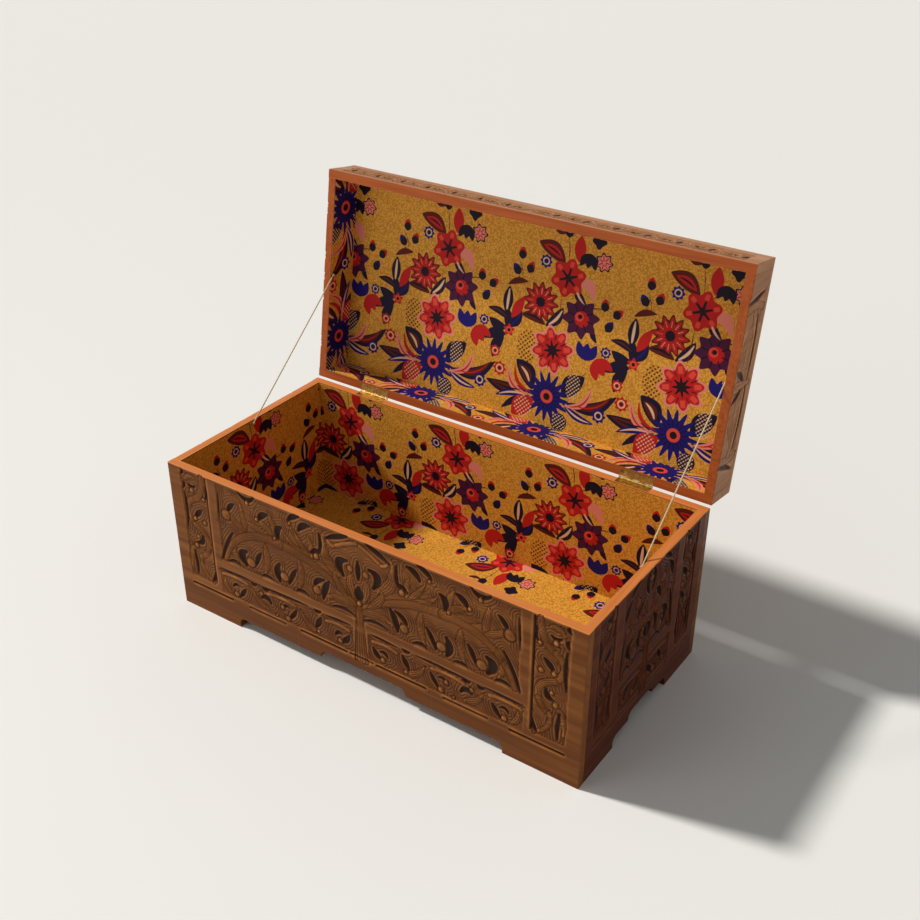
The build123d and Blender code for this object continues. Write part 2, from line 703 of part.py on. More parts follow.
for name, side in sides:
    hinge_x = side * hinge_spacing / 2
    hinge_left = hinge_x - hinge_length / 2
    own_screws = [(hinge_x + offset, leaf_y) for offset in screw_offsets]

    with BuildPart() as box_leaf:
        with BuildSketch(level(box_height - leaf_thickness)):
            with Locations((hinge_x, leaf_y)):
                Rectangle(hinge_length, leaf_width)
        extrude(amount=leaf_thickness)
        with BuildSketch(level(box_height)):
            with Locations(*own_screws):
                RegularPolygon(screw_neck_radius + hole_fit, head_facets, major_radius=False)
        extrude(amount=-leaf_thickness, mode=Mode.SUBTRACT)
        chamfer(small_edges(box_leaf, level(box_height)), length=countersink)
        for index in range(0, knuckle_count, 2):
            knuckle_x = hinge_left + knuckle_start(index)
            with BuildSketch(level(box_height - leaf_thickness)):
                with Locations((knuckle_x + knuckle_length / 2, depth / 2 + pivot_offset / 2)):
                    Rectangle(knuckle_length, pivot_offset)
            extrude(amount=leaf_thickness)
            with BuildSketch(barrel_plane(knuckle_x)):
                RegularPolygon(knuckle_radius, barrel_facets)
            extrude(amount=knuckle_length)
        with BuildSketch(barrel_plane(hinge_left)):
            RegularPolygon(pin_radius + pin_fit, barrel_facets, major_radius=False)
        extrude(amount=hinge_length, mode=Mode.SUBTRACT)
    box_leaf.part.label = f"{name}_hinge_box_leaf"
    export_step(box_leaf.part, f"parts/{name}_hinge_box_leaf.step")

    with BuildPart() as lid_leaf:
        with BuildSketch(on_lid(level(lid_rim))):
            with Locations((hinge_x, leaf_y)):
                Rectangle(hinge_length, leaf_width)
        extrude(amount=leaf_thickness)
        with BuildSketch(on_lid(level(lid_rim))):
            with Locations(*own_screws):
                RegularPolygon(screw_neck_radius + hole_fit, head_facets, major_radius=False)
        extrude(amount=leaf_thickness, mode=Mode.SUBTRACT)
        chamfer(small_edges(lid_leaf, on_lid(level(lid_rim))), length=countersink)
        for index in range(1, knuckle_count, 2):
            knuckle_x = hinge_left + knuckle_start(index)
            with BuildSketch(on_lid(level(lid_rim))):
                with Locations((knuckle_x + knuckle_length / 2, depth / 2 + pivot_offset / 2)):
                    Rectangle(knuckle_length, pivot_offset)
            extrude(amount=leaf_thickness)
            with BuildSketch(barrel_plane(knuckle_x)):
                RegularPolygon(knuckle_radius, barrel_facets)
            extrude(amount=knuckle_length)
        with BuildSketch(barrel_plane(hinge_left)):
            RegularPolygon(pin_radius + pin_fit, barrel_facets, major_radius=False)
        extrude(amount=hinge_length, mode=Mode.SUBTRACT)
    lid_leaf.part.label = f"{name}_hinge_lid_leaf"
    export_step(lid_leaf.part, f"parts/{name}_hinge_lid_leaf.step")

    with BuildPart() as pin:
        with BuildSketch(barrel_plane(hinge_left)):
            RegularPolygon(pin_radius, barrel_facets)
        extrude(amount=hinge_length)
    pin.part.label = f"{name}_hinge_pin"
    export_step(pin.part, f"parts/{name}_hinge_pin.step")

    for owner, seat, inward in (("box", level(box_height), -1), ("lid", on_lid(level(lid_rim)), 1)):
        with BuildPart() as screws:
            with BuildSketch(seat):
                with Locations(*own_screws):
                    RegularPolygon(screw_head_radius, head_facets, major_radius=False)
            extrude(amount=inward * leaf_thickness)
            chamfer(small_edges(screws, seat.offset(inward * leaf_thickness)), length=countersink)
            with BuildSketch(seat.offset(inward * leaf_thickness)):
                with Locations(*own_screws):
                    RegularPolygon(screw_radius, shank_facets)
            extrude(amount=inward * (screw_length - leaf_thickness))
        screws.part.label = f"{name}_{owner}_leaf_screws"
        export_step(screws.part, f"parts/{name}_{owner}_leaf_screws.step")

# ================================================================ stays
stay_grip_x = cloth_x - stay_stand_off / 2
shank_clear = stay_screw_radius + stay_seat
lid_anchor = on_lid(Plane(origin=(0, case_y + stay_y, stay_lid_z))).origin
box_anchor = Vector(0, case_y + stay_y, stay_box_z)
stay_line = (lid_anchor - box_anchor).normalized()
stay_length = (lid_anchor - box_anchor).length - 2 * shank_clear


stay_reach = lining + stay_stand_off
for name, side in sides:
    box_seat = end_plane(side, stay_box_z).offset(-board)
    lid_seat = on_lid(end_plane(side, stay_lid_z).offset(-board))
    for owner, seat in (("box", box_seat), ("lid", lid_seat)):
        with BuildPart() as anchor:
            with BuildSketch(seat.offset(stay_screw_grip)):
                with Locations((side * stay_y, 0)):
                    RegularPolygon(stay_screw_radius, shank_facets)
            extrude(amount=-stay_screw_grip - stay_reach)
            with BuildSketch(seat.offset(-stay_reach)):
                with Locations((side * stay_y, 0)):
                    RegularPolygon(stay_head_radius, stay_facets)
            extrude(amount=-stay_head_rim)
            with BuildSketch(seat.offset(-stay_reach - stay_head_rim)):
                with Locations((side * stay_y, 0)):
                    RegularPolygon(stay_head_radius, stay_facets)
            with BuildSketch(seat.offset(-stay_reach - stay_head_rim - stay_head_dome)):
                with Locations((side * stay_y, 0)):
                    RegularPolygon(stay_head_radius - stay_head_dome, stay_facets)
            loft(ruled=True)
        anchor.part.label = f"{name}_stay_{owner}_screw"
        export_step(anchor.part, f"parts/{name}_stay_{owner}_screw.step")

    cord_foot = Vector(side * stay_grip_x, box_anchor.Y, box_anchor.Z) + stay_line * shank_clear
    with BuildPart() as stay_cord:
        with BuildSketch(Plane(origin=cord_foot, x_dir=(1, 0, 0), z_dir=stay_line)):
            RegularPolygon(stay_cord_radius, stay_facets)
        extrude(amount=stay_length)
    stay_cord.part.label = f"{name}_stay_cord"
    export_step(stay_cord.part, f"parts/{name}_stay_cord.step")

print(f"stay {stay_length:.1f} mm, lid pivot y {pivot_y:.2f} z {pivot_z:.2f}")
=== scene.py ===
"""A carved hardwood dowry chest with a printed cotton lining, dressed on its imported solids.

Every piece stands in metres where the solids stand.  The carved boards are height fields:
a grid over the face of the board, sunk and raised by strokes of a gouge.  The cotton keeps
one signed distance for each printing ink on its points, and its finish turns each into a
crisp edge.  Lengths inside the carving and the print are millimetres.
"""

import json
import logging
from collections.abc import Callable
from dataclasses import dataclass, field
from enum import Enum
from math import cos, pi, radians, sin

import bpy
import numpy as np
from mathutils import Matrix, Vector

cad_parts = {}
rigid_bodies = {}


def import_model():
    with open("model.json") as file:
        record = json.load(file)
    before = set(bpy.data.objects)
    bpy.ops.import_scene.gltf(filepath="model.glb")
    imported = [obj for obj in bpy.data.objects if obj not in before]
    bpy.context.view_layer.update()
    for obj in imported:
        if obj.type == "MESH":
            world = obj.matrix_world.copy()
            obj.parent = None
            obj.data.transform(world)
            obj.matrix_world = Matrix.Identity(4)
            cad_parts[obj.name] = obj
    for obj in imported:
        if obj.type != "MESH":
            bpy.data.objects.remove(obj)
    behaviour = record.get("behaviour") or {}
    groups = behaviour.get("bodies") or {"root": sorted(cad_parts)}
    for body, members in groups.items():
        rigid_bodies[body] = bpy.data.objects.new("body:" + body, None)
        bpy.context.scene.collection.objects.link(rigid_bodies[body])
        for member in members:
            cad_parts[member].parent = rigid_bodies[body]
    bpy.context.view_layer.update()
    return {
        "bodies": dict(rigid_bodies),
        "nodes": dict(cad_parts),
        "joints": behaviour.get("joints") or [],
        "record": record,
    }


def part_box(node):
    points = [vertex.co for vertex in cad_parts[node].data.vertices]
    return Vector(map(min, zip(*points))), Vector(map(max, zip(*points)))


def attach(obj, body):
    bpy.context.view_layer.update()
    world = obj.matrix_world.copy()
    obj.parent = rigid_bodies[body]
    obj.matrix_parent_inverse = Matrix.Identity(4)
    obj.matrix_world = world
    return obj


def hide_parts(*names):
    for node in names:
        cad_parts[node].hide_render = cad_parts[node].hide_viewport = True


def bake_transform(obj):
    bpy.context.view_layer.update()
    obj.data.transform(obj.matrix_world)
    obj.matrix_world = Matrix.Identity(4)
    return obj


LOG = logging.getLogger("dowry_chest")
Socket = bpy.types.NodeSocket
MM = 0.001
FAR = 30.0  # millimetres from a hollow beyond which nothing follows it
FREE = 60.0  # millimetres over the ground from which a board's grid stands free of its feet
CUT = 0.97  # height below which the wood counts as cut
ARRIS = 1.4  # radius of a board's rounded edges in millimetres
LID_CUT = 4.0  # depth of the lid's carving in millimetres
CLOTH = 0.98  # thickness of the pasted cloth in millimetres
CLEAR = 1.7  # millimetres from a screw's middle to the end of its stay
PROUD = 0.12  # millimetres by which a screw's head stands out
HINGE_U, HINGE_V, HINGE_STEP = 335, 232, 26  # places of the leaf screws from the case's middle
SIDES = ((-1, "left"), (1, "right"))
ALONG_X, ALONG_Y, ALONG_Z = (1, 0, 0), (0, 1, 0), (0, 0, 1)


# ---------------------------------------------------------------- small helpers
def linear(colour: str) -> tuple[float, float, float, float]:
    """Turn an sRGB hex colour into the linear colour that a shader takes.

    Args:
        colour: Six hex digits after a hash.

    Returns:
        Linear red, green, blue and an alpha of one.
    """
    parts = [int(colour[place : place + 2], 16) / 255 for place in (1, 3, 5)]
    flat = [part / 12.92 if part <= 0.04045 else ((part + 0.055) / 1.055) ** 2.4 for part in parts]
    return (*flat, 1.0)


def add(tree: bpy.types.NodeTree, kind: str, settings: dict, links: dict | None = None) -> bpy.types.Node:
    """Add a shader node with its settings and its links.

    Args:
        tree: Node tree of the material or the world.
        kind: Blender's name of the node.
        settings: Properties by name, and socket values by the socket's name or number.
        links: Output sockets by the name or number of the input that each feeds.

    Returns:
        The new node.
    """
    node = tree.nodes.new(kind)
    for name, value in settings.items():
        if isinstance(name, str) and hasattr(node, name):
            setattr(node, name, value)
        else:
            node.inputs[name].default_value = value
    for name, output in (links or {}).items():
        tree.links.new(output, node.inputs[name])
    return node


def link(thing: bpy.types.ID) -> bpy.types.Object:
    """Put a mesh, curve, lamp or camera into the scene.

    Args:
        thing: The data block.

    Returns:
        The object that holds it, which has its name.
    """
    holder = bpy.data.objects.new(thing.name, thing)
    bpy.context.scene.collection.objects.link(holder)
    return holder


class Shading:
    """A material in the making, with the nodes that the finishes have in common."""

    def __init__(self, name: str) -> None:
        """Start a material.

        Args:
            name: Name of the real finish.
        """
        self.material = bpy.data.materials.new(name)
        self.material.use_nodes = True
        self.tree = self.material.node_tree
        self.shader = self.tree.nodes["Principled BSDF"]

    def node(self, kind: str, settings: dict, links: dict | None = None) -> bpy.types.Node:
        """Add a node to the material; the arguments are those of add."""
        return add(self.tree, kind, settings, links)

    def place(self) -> Socket:
        """Read the place of a point in metres."""
        return self.node("ShaderNodeTexCoord", {}).outputs["Object"]

    def attribute(self, name: str, output: str = "Fac") -> Socket:
        """Read a point attribute by its name."""
        return self.node("ShaderNodeAttribute", {"attribute_name": name}).outputs[output]

    def stretch(self, place: Socket, scale: tuple) -> Socket:
        """Scale a place along X, Y and Z."""
        return self.node("ShaderNodeMapping", {"Scale": scale}, {"Vector": place}).outputs[0]

    def noise(self, place: Socket, scale: float, detail: float, distortion: float = 0.0) -> Socket:
        """Add noise of a scale, a detail and a distortion, from 0 to 1."""
        settings = {"Scale": scale, "Detail": detail, "Distortion": distortion}
        return self.node("ShaderNodeTexNoise", settings, {"Vector": place}).outputs["Fac"]

    def spread(self, value: Socket, low: float, high: float) -> Socket:
        """Stretch a value so that low becomes 0 and high becomes 1, and clamp it."""
        ends = {"From Min": low, "From Max": high}
        return self.node("ShaderNodeMapRange", ends, {"Value": value}).outputs[0]

    def blend(self, share: Socket, first: Socket | str, second: Socket | str) -> Socket:
        """Mix two colours.

        Args:
            share: Share of the second colour.
            first: Output socket or hex colour.
            second: Output socket or hex colour.

        Returns:
            The mixed colour.
        """
        settings, links = {"data_type": "RGBA"}, {0: share}
        for place, value in ((6, first), (7, second)):
            if isinstance(value, str):
                settings[place] = linear(value)
            else:
                links[place] = value
        return self.node("ShaderNodeMix", settings, links).outputs[2]

    def finish(
        self, colour: Socket, bump: Socket, strength: float, deep: float, inputs: dict
    ) -> bpy.types.Material:
        """Join the shader up.

        Args:
            colour: The base colour.
            bump: Height of the fine relief, from 0 to 1.
            strength: Strength of that relief.
            deep: Its depth in metres.
            inputs: Numbers or output sockets for the shader's other inputs.

        Returns:
            The material.
        """
        relief = self.node("ShaderNodeBump", {"Strength": strength, "Distance": deep}, {"Height": bump})
        for name, value in {"Base Color": colour, "Normal": relief.outputs[0], **inputs}.items():
            if isinstance(value, float):
                self.shader.inputs[name].default_value = value
            else:
                self.tree.links.new(value, self.shader.inputs[name])
        return self.material


# ---------------------------------------------------------------- finishes
class Grain(Enum):
    """The way that a board's grain runs, as noise scales per metre along X, Y and Z."""

    ALONG_X = (5.0, 120.0, 120.0)
    ALONG_Y = (120.0, 5.0, 120.0)


@dataclass(frozen=True)
class CarvedTeak:
    """Oiled and varnished teak: an even golden brown. Painted shade darkens it almost to black
    in the ground of the carving; the crests are paler from wear and a painted highlight; the
    rims are orange, the rim wood's own colour lightened as painted sunlight."""

    shade: str = "#542a09"
    body: str = "#6f3c10"
    # pale wood of the grain's bands and of worn crests; on the crests it is also a painted highlight
    pale_wood_and_highlight: str = "#c47e3c"
    # recess and ground: painted shade, darker with the depth of the carving
    recess_shade: str = "#3d1b06"
    ground: str = "#281004"
    # rim colours: the rim wood's own orange, lightened as painted sunlight
    rim: str = "#de8c4c"
    rim_shade: str = "#c96f34"
    pore_mm: float = 0.7
    roughness: float = 0.44

    def dress(self, name: str, grain: Grain, plane: tuple[Vector, float]) -> bpy.types.Material:
        """Build the finish; its orange, the rim wood's own colour lightened as painted sunlight, lies
        within 0.2 mm of the plane of the rim.

        Args:
            name: What the board is, for the material's name.
            grain: The way that the grain runs.
            plane: Direction and distance of the plane of the rim.

        Returns:
            The material; it reads the point attributes depth and crest.
        """
        made = Shading(f"varnished_teak_{name}")
        place = made.place()
        along = made.stretch(place, grain.value)
        figure, bands = made.noise(along, 1.0, 7.0, 0.6), made.noise(along, 0.22, 3.0, 1.2)
        pores, wear = made.noise(along, 1 / self.pore_mm * 6, 2.0), made.noise(place, 30.0, 4.0)
        depth, crest = made.attribute("depth"), made.attribute("crest")
        tone = made.blend(made.spread(figure, 0.1, 0.72), self.shade, self.body)
        tone = made.blend(made.spread(bands, 0.42, 1.5), tone, self.pale_wood_and_highlight)
        # crests turn pale where the wear noise is high: wear, and a painted highlight on the ridges
        shares = {0: made.spread(crest, 0.03, 0.3), 1: made.spread(wear, 0.15, 0.75)}
        edge = made.node("ShaderNodeMath", {"operation": "MULTIPLY"}, shares)
        tone = made.blend(edge.outputs[0], tone, self.pale_wood_and_highlight)
        # painted shade: darker with depth, to near black on the carving's ground
        tone = made.blend(made.spread(depth, 0.1, 0.6), tone, self.recess_shade)
        tone = made.blend(made.spread(depth, 0.72, 0.98), tone, self.ground)
        # painted sunlight: the rim wood's orange, lightened, on the plane of the rim
        orange = made.blend(made.spread(figure, 0.25, 0.8), self.rim_shade, self.rim)
        reach = made.node("ShaderNodeVectorMath", {"operation": "DOT_PRODUCT", 1: plane[0]}, {0: place})
        rim = made.spread(reach.outputs["Value"], plane[1] - 0.9 * MM, plane[1] - 0.2 * MM)
        limits = {"To Min": self.roughness - 0.08, "To Max": self.roughness + 0.16}
        dull = made.node("ShaderNodeMapRange", limits, {"Value": wear}).outputs[0]
        inputs = {"Roughness": dull, "Specular IOR Level": 0.1, "Coat Weight": 0.05, "Coat Roughness": 0.3}
        return made.finish(made.blend(rim, tone, orange), pores, 0.25, 0.0003, inputs)


class Ink(Enum):
    """The inks of the cotton print in the order that they are printed: attribute and colour."""

    FERN = ("ink_fern", "#150a26")
    BARK = ("ink_bark", "#561810")
    PLUM = ("ink_plum", "#471036")
    INDIGO = ("ink_indigo", "#1a1168")
    BLUSH = ("ink_blush", "#e68877")
    SCARLET = ("ink_scarlet", "#bd1d1a")
    SHADOW = ("ink_shadow", "#130618")
    CREAM = ("ink_cream", "#e6bb93")
    CORAL = ("ink_coral", "#e04a38")
    EYE = ("ink_eye", "#1e0508")


@dataclass(frozen=True)
class PrintedCotton:
    """Furnishing cotton, plain woven and pasted on card: a mustard ground with a small
    speckled filling, and flat inks with crisp edges."""

    ground: str = "#eaaa42"
    filling: str = "#c3852b"
    filling_mm: float = 4.2
    thread_mm: float = 1.0  # coarser than the cloth's own 0.3 mm, which would not show
    bleed_mm: float = 0.5

    def dress(self) -> bpy.types.Material:
        """Build the finish.

        Returns:
            The material; it reads one distance attribute for each ink and the cloth's own
            places in millimetres from the attribute weave.
        """
        made = Shading("printed_cotton")
        cloth = made.attribute("weave", "Vector")
        speckle = {"Scale": 1 / self.filling_mm, "Randomness": 0.8, "feature": "F1"}
        dots = made.node("ShaderNodeTexVoronoi", speckle, {"Vector": cloth}).outputs["Distance"]
        tone = made.blend(made.spread(dots, 0.3, 0.7), self.ground, self.filling)
        for ink in Ink:
            name, colour = ink.value
            share = made.spread(made.attribute(name), -self.bleed_mm, self.bleed_mm)
            tone = made.blend(share, tone, colour)
        threads = {"Scale": 1 / self.thread_mm, "Distortion": 0.6, "bands_direction": "DIAGONAL"}
        weave = made.node("ShaderNodeTexWave", threads, {"Vector": cloth}).outputs["Fac"]
        return made.finish(tone, weave, 0.06, 0.0001, {"Roughness": 0.62, "Specular IOR Level": 0.15})


@dataclass(frozen=True)
class AgedMetal:
    """Pressed or turned metal: bright where it is handled, duller and browner in between."""

    name: str
    bright: str
    dull: str
    roughness: float

    def dress(self) -> bpy.types.Material:
        """Build the finish.

        Returns:
            The material.
        """
        made = Shading(self.name)
        place = made.place()
        stain = made.spread(made.noise(place, 160.0, 5.0), 0.35, 0.65)
        lines = made.noise(made.stretch(place, (90.0, 1400.0, 1400.0)), 1.0, 3.0)
        tone = made.blend(stain, self.bright, self.dull)
        return made.finish(tone, lines, 0.2, 0.0001, {"Metallic": 1.0, "Roughness": self.roughness})


@dataclass(frozen=True)
class RawWood:
    """Sawn wood that was never varnished: pale, dry and streaked by the saw."""

    pale: str = "#b58a5a"
    streak: str = "#7f5733"
    saw_mm: float = 1.6

    def dress(self) -> bpy.types.Material:
        """Build the finish.

        Returns:
            The material.
        """
        made = Shading("sawn_softwood")
        place = made.place()
        figure = made.noise(made.stretch(place, Grain.ALONG_X.value), 0.8, 6.0)
        marks = {"Scale": 1 / self.saw_mm / MM / 6, "Distortion": 3.0, "Detail": 2.0}
        saw = made.node("ShaderNodeTexWave", marks, {"Vector": place}).outputs["Fac"]
        tone = made.blend(made.spread(figure, 0.3, 0.7), self.streak, self.pale)
        return made.finish(tone, saw, 0.4, 0.0003, {"Roughness": 0.8})


@dataclass(frozen=True)
class CottonTwine:
    """Three-ply cotton twine, unbleached: pale cream, coloured darker between the plies."""

    crown: str = "#e6d3a8"
    # colour between the plies, where the twine is coloured darker
    dust: str = "#8d7448"

    def dress(self) -> bpy.types.Material:
        """Build the finish.

        Returns:
            The material; it reads the point attribute ply.
        """
        made = Shading("cotton_twine")
        tone = made.blend(made.spread(made.attribute("ply"), 0.1, 0.7), self.dust, self.crown)
        fibre = made.noise(made.place(), 2500.0, 3.0)
        return made.finish(tone, fibre, 0.3, 0.0001, {"Roughness": 0.85, "Sheen Weight": 0.3})


# ---------------------------------------------------------------- places
@dataclass(frozen=True)
class Face:
    """A flat face with its own axes, in metres in the part's frame."""

    origin: Vector
    across: Vector
    up: Vector

    def swung(self, turn: Matrix) -> "Face":
        """Return the face after a turn of the lid, given as a 4 by 4 matrix."""
        spin = turn.to_3x3()
        return Face(turn @ self.origin, spin @ self.across, spin @ self.up)

    def place(self, u: np.ndarray, v: np.ndarray, out: np.ndarray) -> np.ndarray:
        """Carry points from the face's axes to the part's frame.

        Args:
            u: Distances across the face in millimetres.
            v: Distances up the face in millimetres.
            out: Distances off the face in millimetres.

        Returns:
            One row of X, Y and Z in metres for each point.
        """
        axes = np.array([self.across, self.up, self.across.cross(self.up)])
        flat = np.stack([u.ravel(), v.ravel(), out.ravel()], axis=1) * MM
        return np.array(self.origin) + flat @ axes


@dataclass
class Case:
    """The chest's driving sizes in millimetres.

    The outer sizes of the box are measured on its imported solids.  The others are the sizes
    that the solids were drawn to.
    """

    hinge: dict
    board: float = 19.0
    lining: float = 1.0
    reveal: float = 2.0
    lid_height: float = 91.0
    lid_top: float = 12.0
    rim_gap: float = 1.5
    floor_top: float = 69.0
    half: float = field(init=False)
    front: float = field(init=False)
    back: float = field(init=False)
    rim: float = field(init=False)
    swing: Matrix = field(init=False)

    def __post_init__(self) -> None:
        """Measure the box and work out the lid's swing about the hinge pins."""
        low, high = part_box("front_board")
        self.half, self.front, self.rim = high.x / MM, low.y / MM, high.z / MM
        self.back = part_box("back_board")[1].y / MM
        pin = Vector(self.hinge["pos_m"])
        turn = Matrix.Rotation(radians(-self.hinge["range_deg"][1]), 4, "X")
        self.swing = Matrix.Translation(pin) @ turn @ Matrix.Translation(-pin)

    @property
    def middle(self) -> float:
        """Y of the middle of the case."""
        return (self.front + self.back) / 2

    @property
    def depth(self) -> float:
        """Depth of the case."""
        return self.back - self.front

    @property
    def lid_rim(self) -> float:
        """Height of the shut lid's rim."""
        return self.rim + self.rim_gap

    @property
    def lid_crest(self) -> float:
        """Height of the shut lid's upper face."""
        return self.lid_rim + self.lid_height

    def face(self, x: float, y: float, z: float, across: tuple, up: tuple) -> Face:
        """Return a face through a point given in millimetres, with its two axes."""
        return Face(Vector((x, y, z)) * MM, Vector(across), Vector(up))


# ---------------------------------------------------------------- gouge strokes
def bow(start: tuple, control: tuple, end: tuple, samples: int = 22) -> np.ndarray:
    """A quadratic curve: (1-t)^2 start + 2t(1-t) control + t^2 end.

    Args:
        start: First point in millimetres.
        control: Point that pulls the curve.
        end: Last point.
        samples: Number of points.

    Returns:
        Points along the curve, one row each.
    """
    t = np.linspace(0, 1, samples)[:, None]
    return (1 - t) ** 2 * np.array(start) + 2 * t * (1 - t) * np.array(control) + t**2 * np.array(end)


def spiral(centre: tuple, radii: tuple, turn: tuple, samples: int = 40) -> np.ndarray:
    """A curl whose radius shrinks by equal shares: r = r0 (r1 / r0)^t.

    Args:
        centre: Middle of the curl.
        radii: First and last radius in millimetres.
        turn: First and last angle in degrees.
        samples: Number of points.

    Returns:
        Points along the curl, one row each.
    """
    t = np.linspace(0, 1, samples)
    angle = np.radians(turn[0] + (turn[1] - turn[0]) * t)
    radius = radii[0] * (radii[1] / radii[0]) ** t
    return np.stack([centre[0] + radius * np.cos(angle), centre[1] + radius * np.sin(angle)], axis=1)


def smooth(values: np.ndarray, reach: int) -> np.ndarray:
    """Average each value with its neighbours on both axes, twice, by running sums.

    Args:
        values: Grid of values.
        reach: Neighbours on each side.

    Returns:
        The averaged grid.
    """
    result = values
    for axis in (0, 1, 0, 1):
        size = values.shape[axis]
        first = np.repeat(result.take([0], axis), reach + 1, axis)
        last = np.repeat(result.take([-1], axis), reach, axis)
        padded = np.concatenate([first, result, last], axis)
        total = np.cumsum(padded, axis)
        high = total.take(range(2 * reach + 1, 2 * reach + 1 + size), axis)
        result = (high - total.take(range(size), axis)) / (2 * reach + 1)
    return result


@dataclass
class Relief:
    """Carving as a height over a grid: 1 on the face of the board, 0 on the deepest ground.

    Attributes:
        across: Places of the grid's columns in millimetres.
        up: Places of the grid's rows in millimetres.
        sides: 1 for each stroke as given and -1 for its mirror image about the middle.
        height: The carved height.
        away: Distance from the nearest hollow in millimetres, as far as it matters.
        foliage: 1 where lines may be scored, 0 on plain wood and on stems.
    """

    across: np.ndarray
    up: np.ndarray
    sides: tuple = (1, -1)
    height: np.ndarray = field(init=False)
    away: np.ndarray = field(init=False)
    foliage: np.ndarray = field(init=False)

    def __post_init__(self) -> None:
        """Start from a plain board."""
        self.height = np.ones((len(self.up), len(self.across)))
        self.away = np.full_like(self.height, FAR)
        self.foliage = np.zeros_like(self.height)

    def near(self, line: np.ndarray, half: np.ndarray, reach: float) -> tuple:
        """Find where the grid lies beside a line, from its distance to each short run of it.

        Args:
            line: Points of the line.
            half: Half of the stroke's width at each point.
            reach: How far beside the stroke the grid is wanted.

        Returns:
            Rows, columns, the signed share of the half width (beyond 1 is outside) and the
            distance from the stroke's edge in millimetres.
        """
        low = line.min(0) - half.max() - reach
        high = line.max(0) + half.max() + reach
        cols = slice(*np.searchsorted(self.across, (low[0], high[0])))
        rows = slice(*np.searchsorted(self.up, (low[1], high[1])))
        u = self.across[cols][None, :, None]
        v = self.up[rows][:, None, None]
        step = np.diff(line, axis=0)
        along = ((u - line[:-1, 0]) * step[:, 0] + (v - line[:-1, 1]) * step[:, 1]) / (step**2).sum(1)
        along = np.clip(along, 0, 1)
        off_u = u - line[:-1, 0] - along * step[:, 0]
        off_v = v - line[:-1, 1] - along * step[:, 1]
        gap = np.hypot(off_u, off_v)
        nearest = gap.argmin(2)[:, :, None]
        side = np.sign(step[:, 0] * off_v - step[:, 1] * off_u)
        gap, along, side = (np.take_along_axis(part, nearest, 2)[:, :, 0] for part in (gap, along, side))
        share = (nearest[:, :, 0] + along) / len(step)
        width = np.interp(share, np.linspace(0, 1, len(half)), half)
        return rows, cols, side * gap / np.maximum(width, 0.01), gap - width

    def stroke(
        self, line: np.ndarray, half: np.ndarray, reeds: int, foot: float = 0.68, moat: float = 2.2
    ) -> None:
        """Raise a flat-topped stem, foot + (1 - foot) (1 - s^2)^0.3, scored by thin lines.

        Args:
            line: Middle line of the stem.
            half: Half width at each point of the line.
            reeds: Number of reeds between the lines that the parting tool scores along it.
            foot: Height of its edge.
            moat: Width of the cut that frees it from what lies round it.
        """
        for side in self.sides:
            rows, cols, share, edge = self.near(line * (side, 1), half, moat)
            inside = np.clip(1 - share**2, 0, 1)
            lines = 1 - 0.36 * (1 - np.abs(np.sin(pi * reeds * (share + 1) / 2))) ** 1.6 if reeds > 1 else 1
            raised = (foot + (1 - foot) * inside**0.3) * lines
            patch = self.height[rows, cols]
            freed = np.minimum(patch, foot - 0.26 + patch * np.clip(edge / moat, 0, 1))
            patch = np.where((edge > 0) & (edge < moat), freed, patch)
            self.height[rows, cols] = np.where(edge <= 0, raised, patch)
            self.foliage[rows, cols] *= edge > 0

    def stem(self, line: np.ndarray, widths: tuple, reeds: int) -> None:
        """Raise a stem whose width changes evenly from the first to the last of two."""
        self.stroke(line, np.linspace(widths[0], widths[1], len(line)) / 2, reeds)

    def leaf(self, line: np.ndarray, width: float, reeds: int) -> None:
        """Raise a leaf: half width w / 2 sin(pi t^0.7)^0.75 (1 - 0.14 |sin 3 pi t|).

        Args:
            line: Middle line from the foot to the tip.
            width: Full width in millimetres.
            reeds: Number of reeds along it.
        """
        t = np.linspace(0, 1, len(line))
        swell = np.sin(pi * t**0.7) ** 0.75 * (1 - 0.14 * np.abs(np.sin(3 * pi * t)))
        self.stroke(line, np.maximum(width / 2 * swell, 0.6), reeds)

    def boss(self, u: float, v: float, radius: float) -> None:
        """Raise a round eye."""
        spot = np.array([(u, v), (u + 0.4, v)])
        self.stroke(spot, np.array([radius, radius]), 1, 0.3, 1.6)

    def pocket(self, line: np.ndarray, width: float) -> None:
        """Cut a hollow inside a lens, down to the ground: its wall falls over 1.8 mm.

        Args:
            line: Middle line of the lens.
            width: Full width in millimetres.
        """
        t = np.linspace(0, 1, len(line))
        half = np.maximum(width / 2 * np.sin(pi * np.clip(t, 0.06, 0.94)) ** 0.5, 0.5)
        for side in self.sides:
            rows, cols, _, edge = self.near(line * (side, 1), half, FAR)
            wall = np.clip((edge + 1.3) / 1.8, 0, 1)
            self.height[rows, cols] = np.minimum(self.height[rows, cols], wall)
            self.away[rows, cols] = np.minimum(self.away[rows, cols], np.maximum(edge, 0))

    def hollows(self, *cuts: tuple) -> None:
        """Cut several hollows.

        Args:
            *cuts: First, middle and last point of each hollow's bow, and its width.
        """
        for start, middle, end, width in cuts:
            control = tuple(2 * m - (s + e) / 2 for s, m, e in zip(start, middle, end))
            self.pocket(bow(start, control, end), width)

    def score(self, pitch: float = 6.0, reach: float = FAR) -> None:
        """Round the wood over beside each hollow, and score it with lines that follow it.

        At a distance d from a hollow the height loses 0.3 e^(-d / 2), and 0.28 at each
        multiple of the pitch, less and less out to the reach.

        Args:
            pitch: Distance from line to line in millimetres.
            reach: Distance from a hollow at which the lines die out.
        """
        away = self.away
        lines = 0.28 * np.abs(np.cos(pi * away / pitch)) ** 3 * np.clip(2.2 * (1 - away / reach), 0, 1)
        lines *= self.foliage * (away > pitch / 2)
        rolled = 0.3 * np.exp(-away / 2)
        self.height -= np.where(away > 0, lines + rolled, 0)

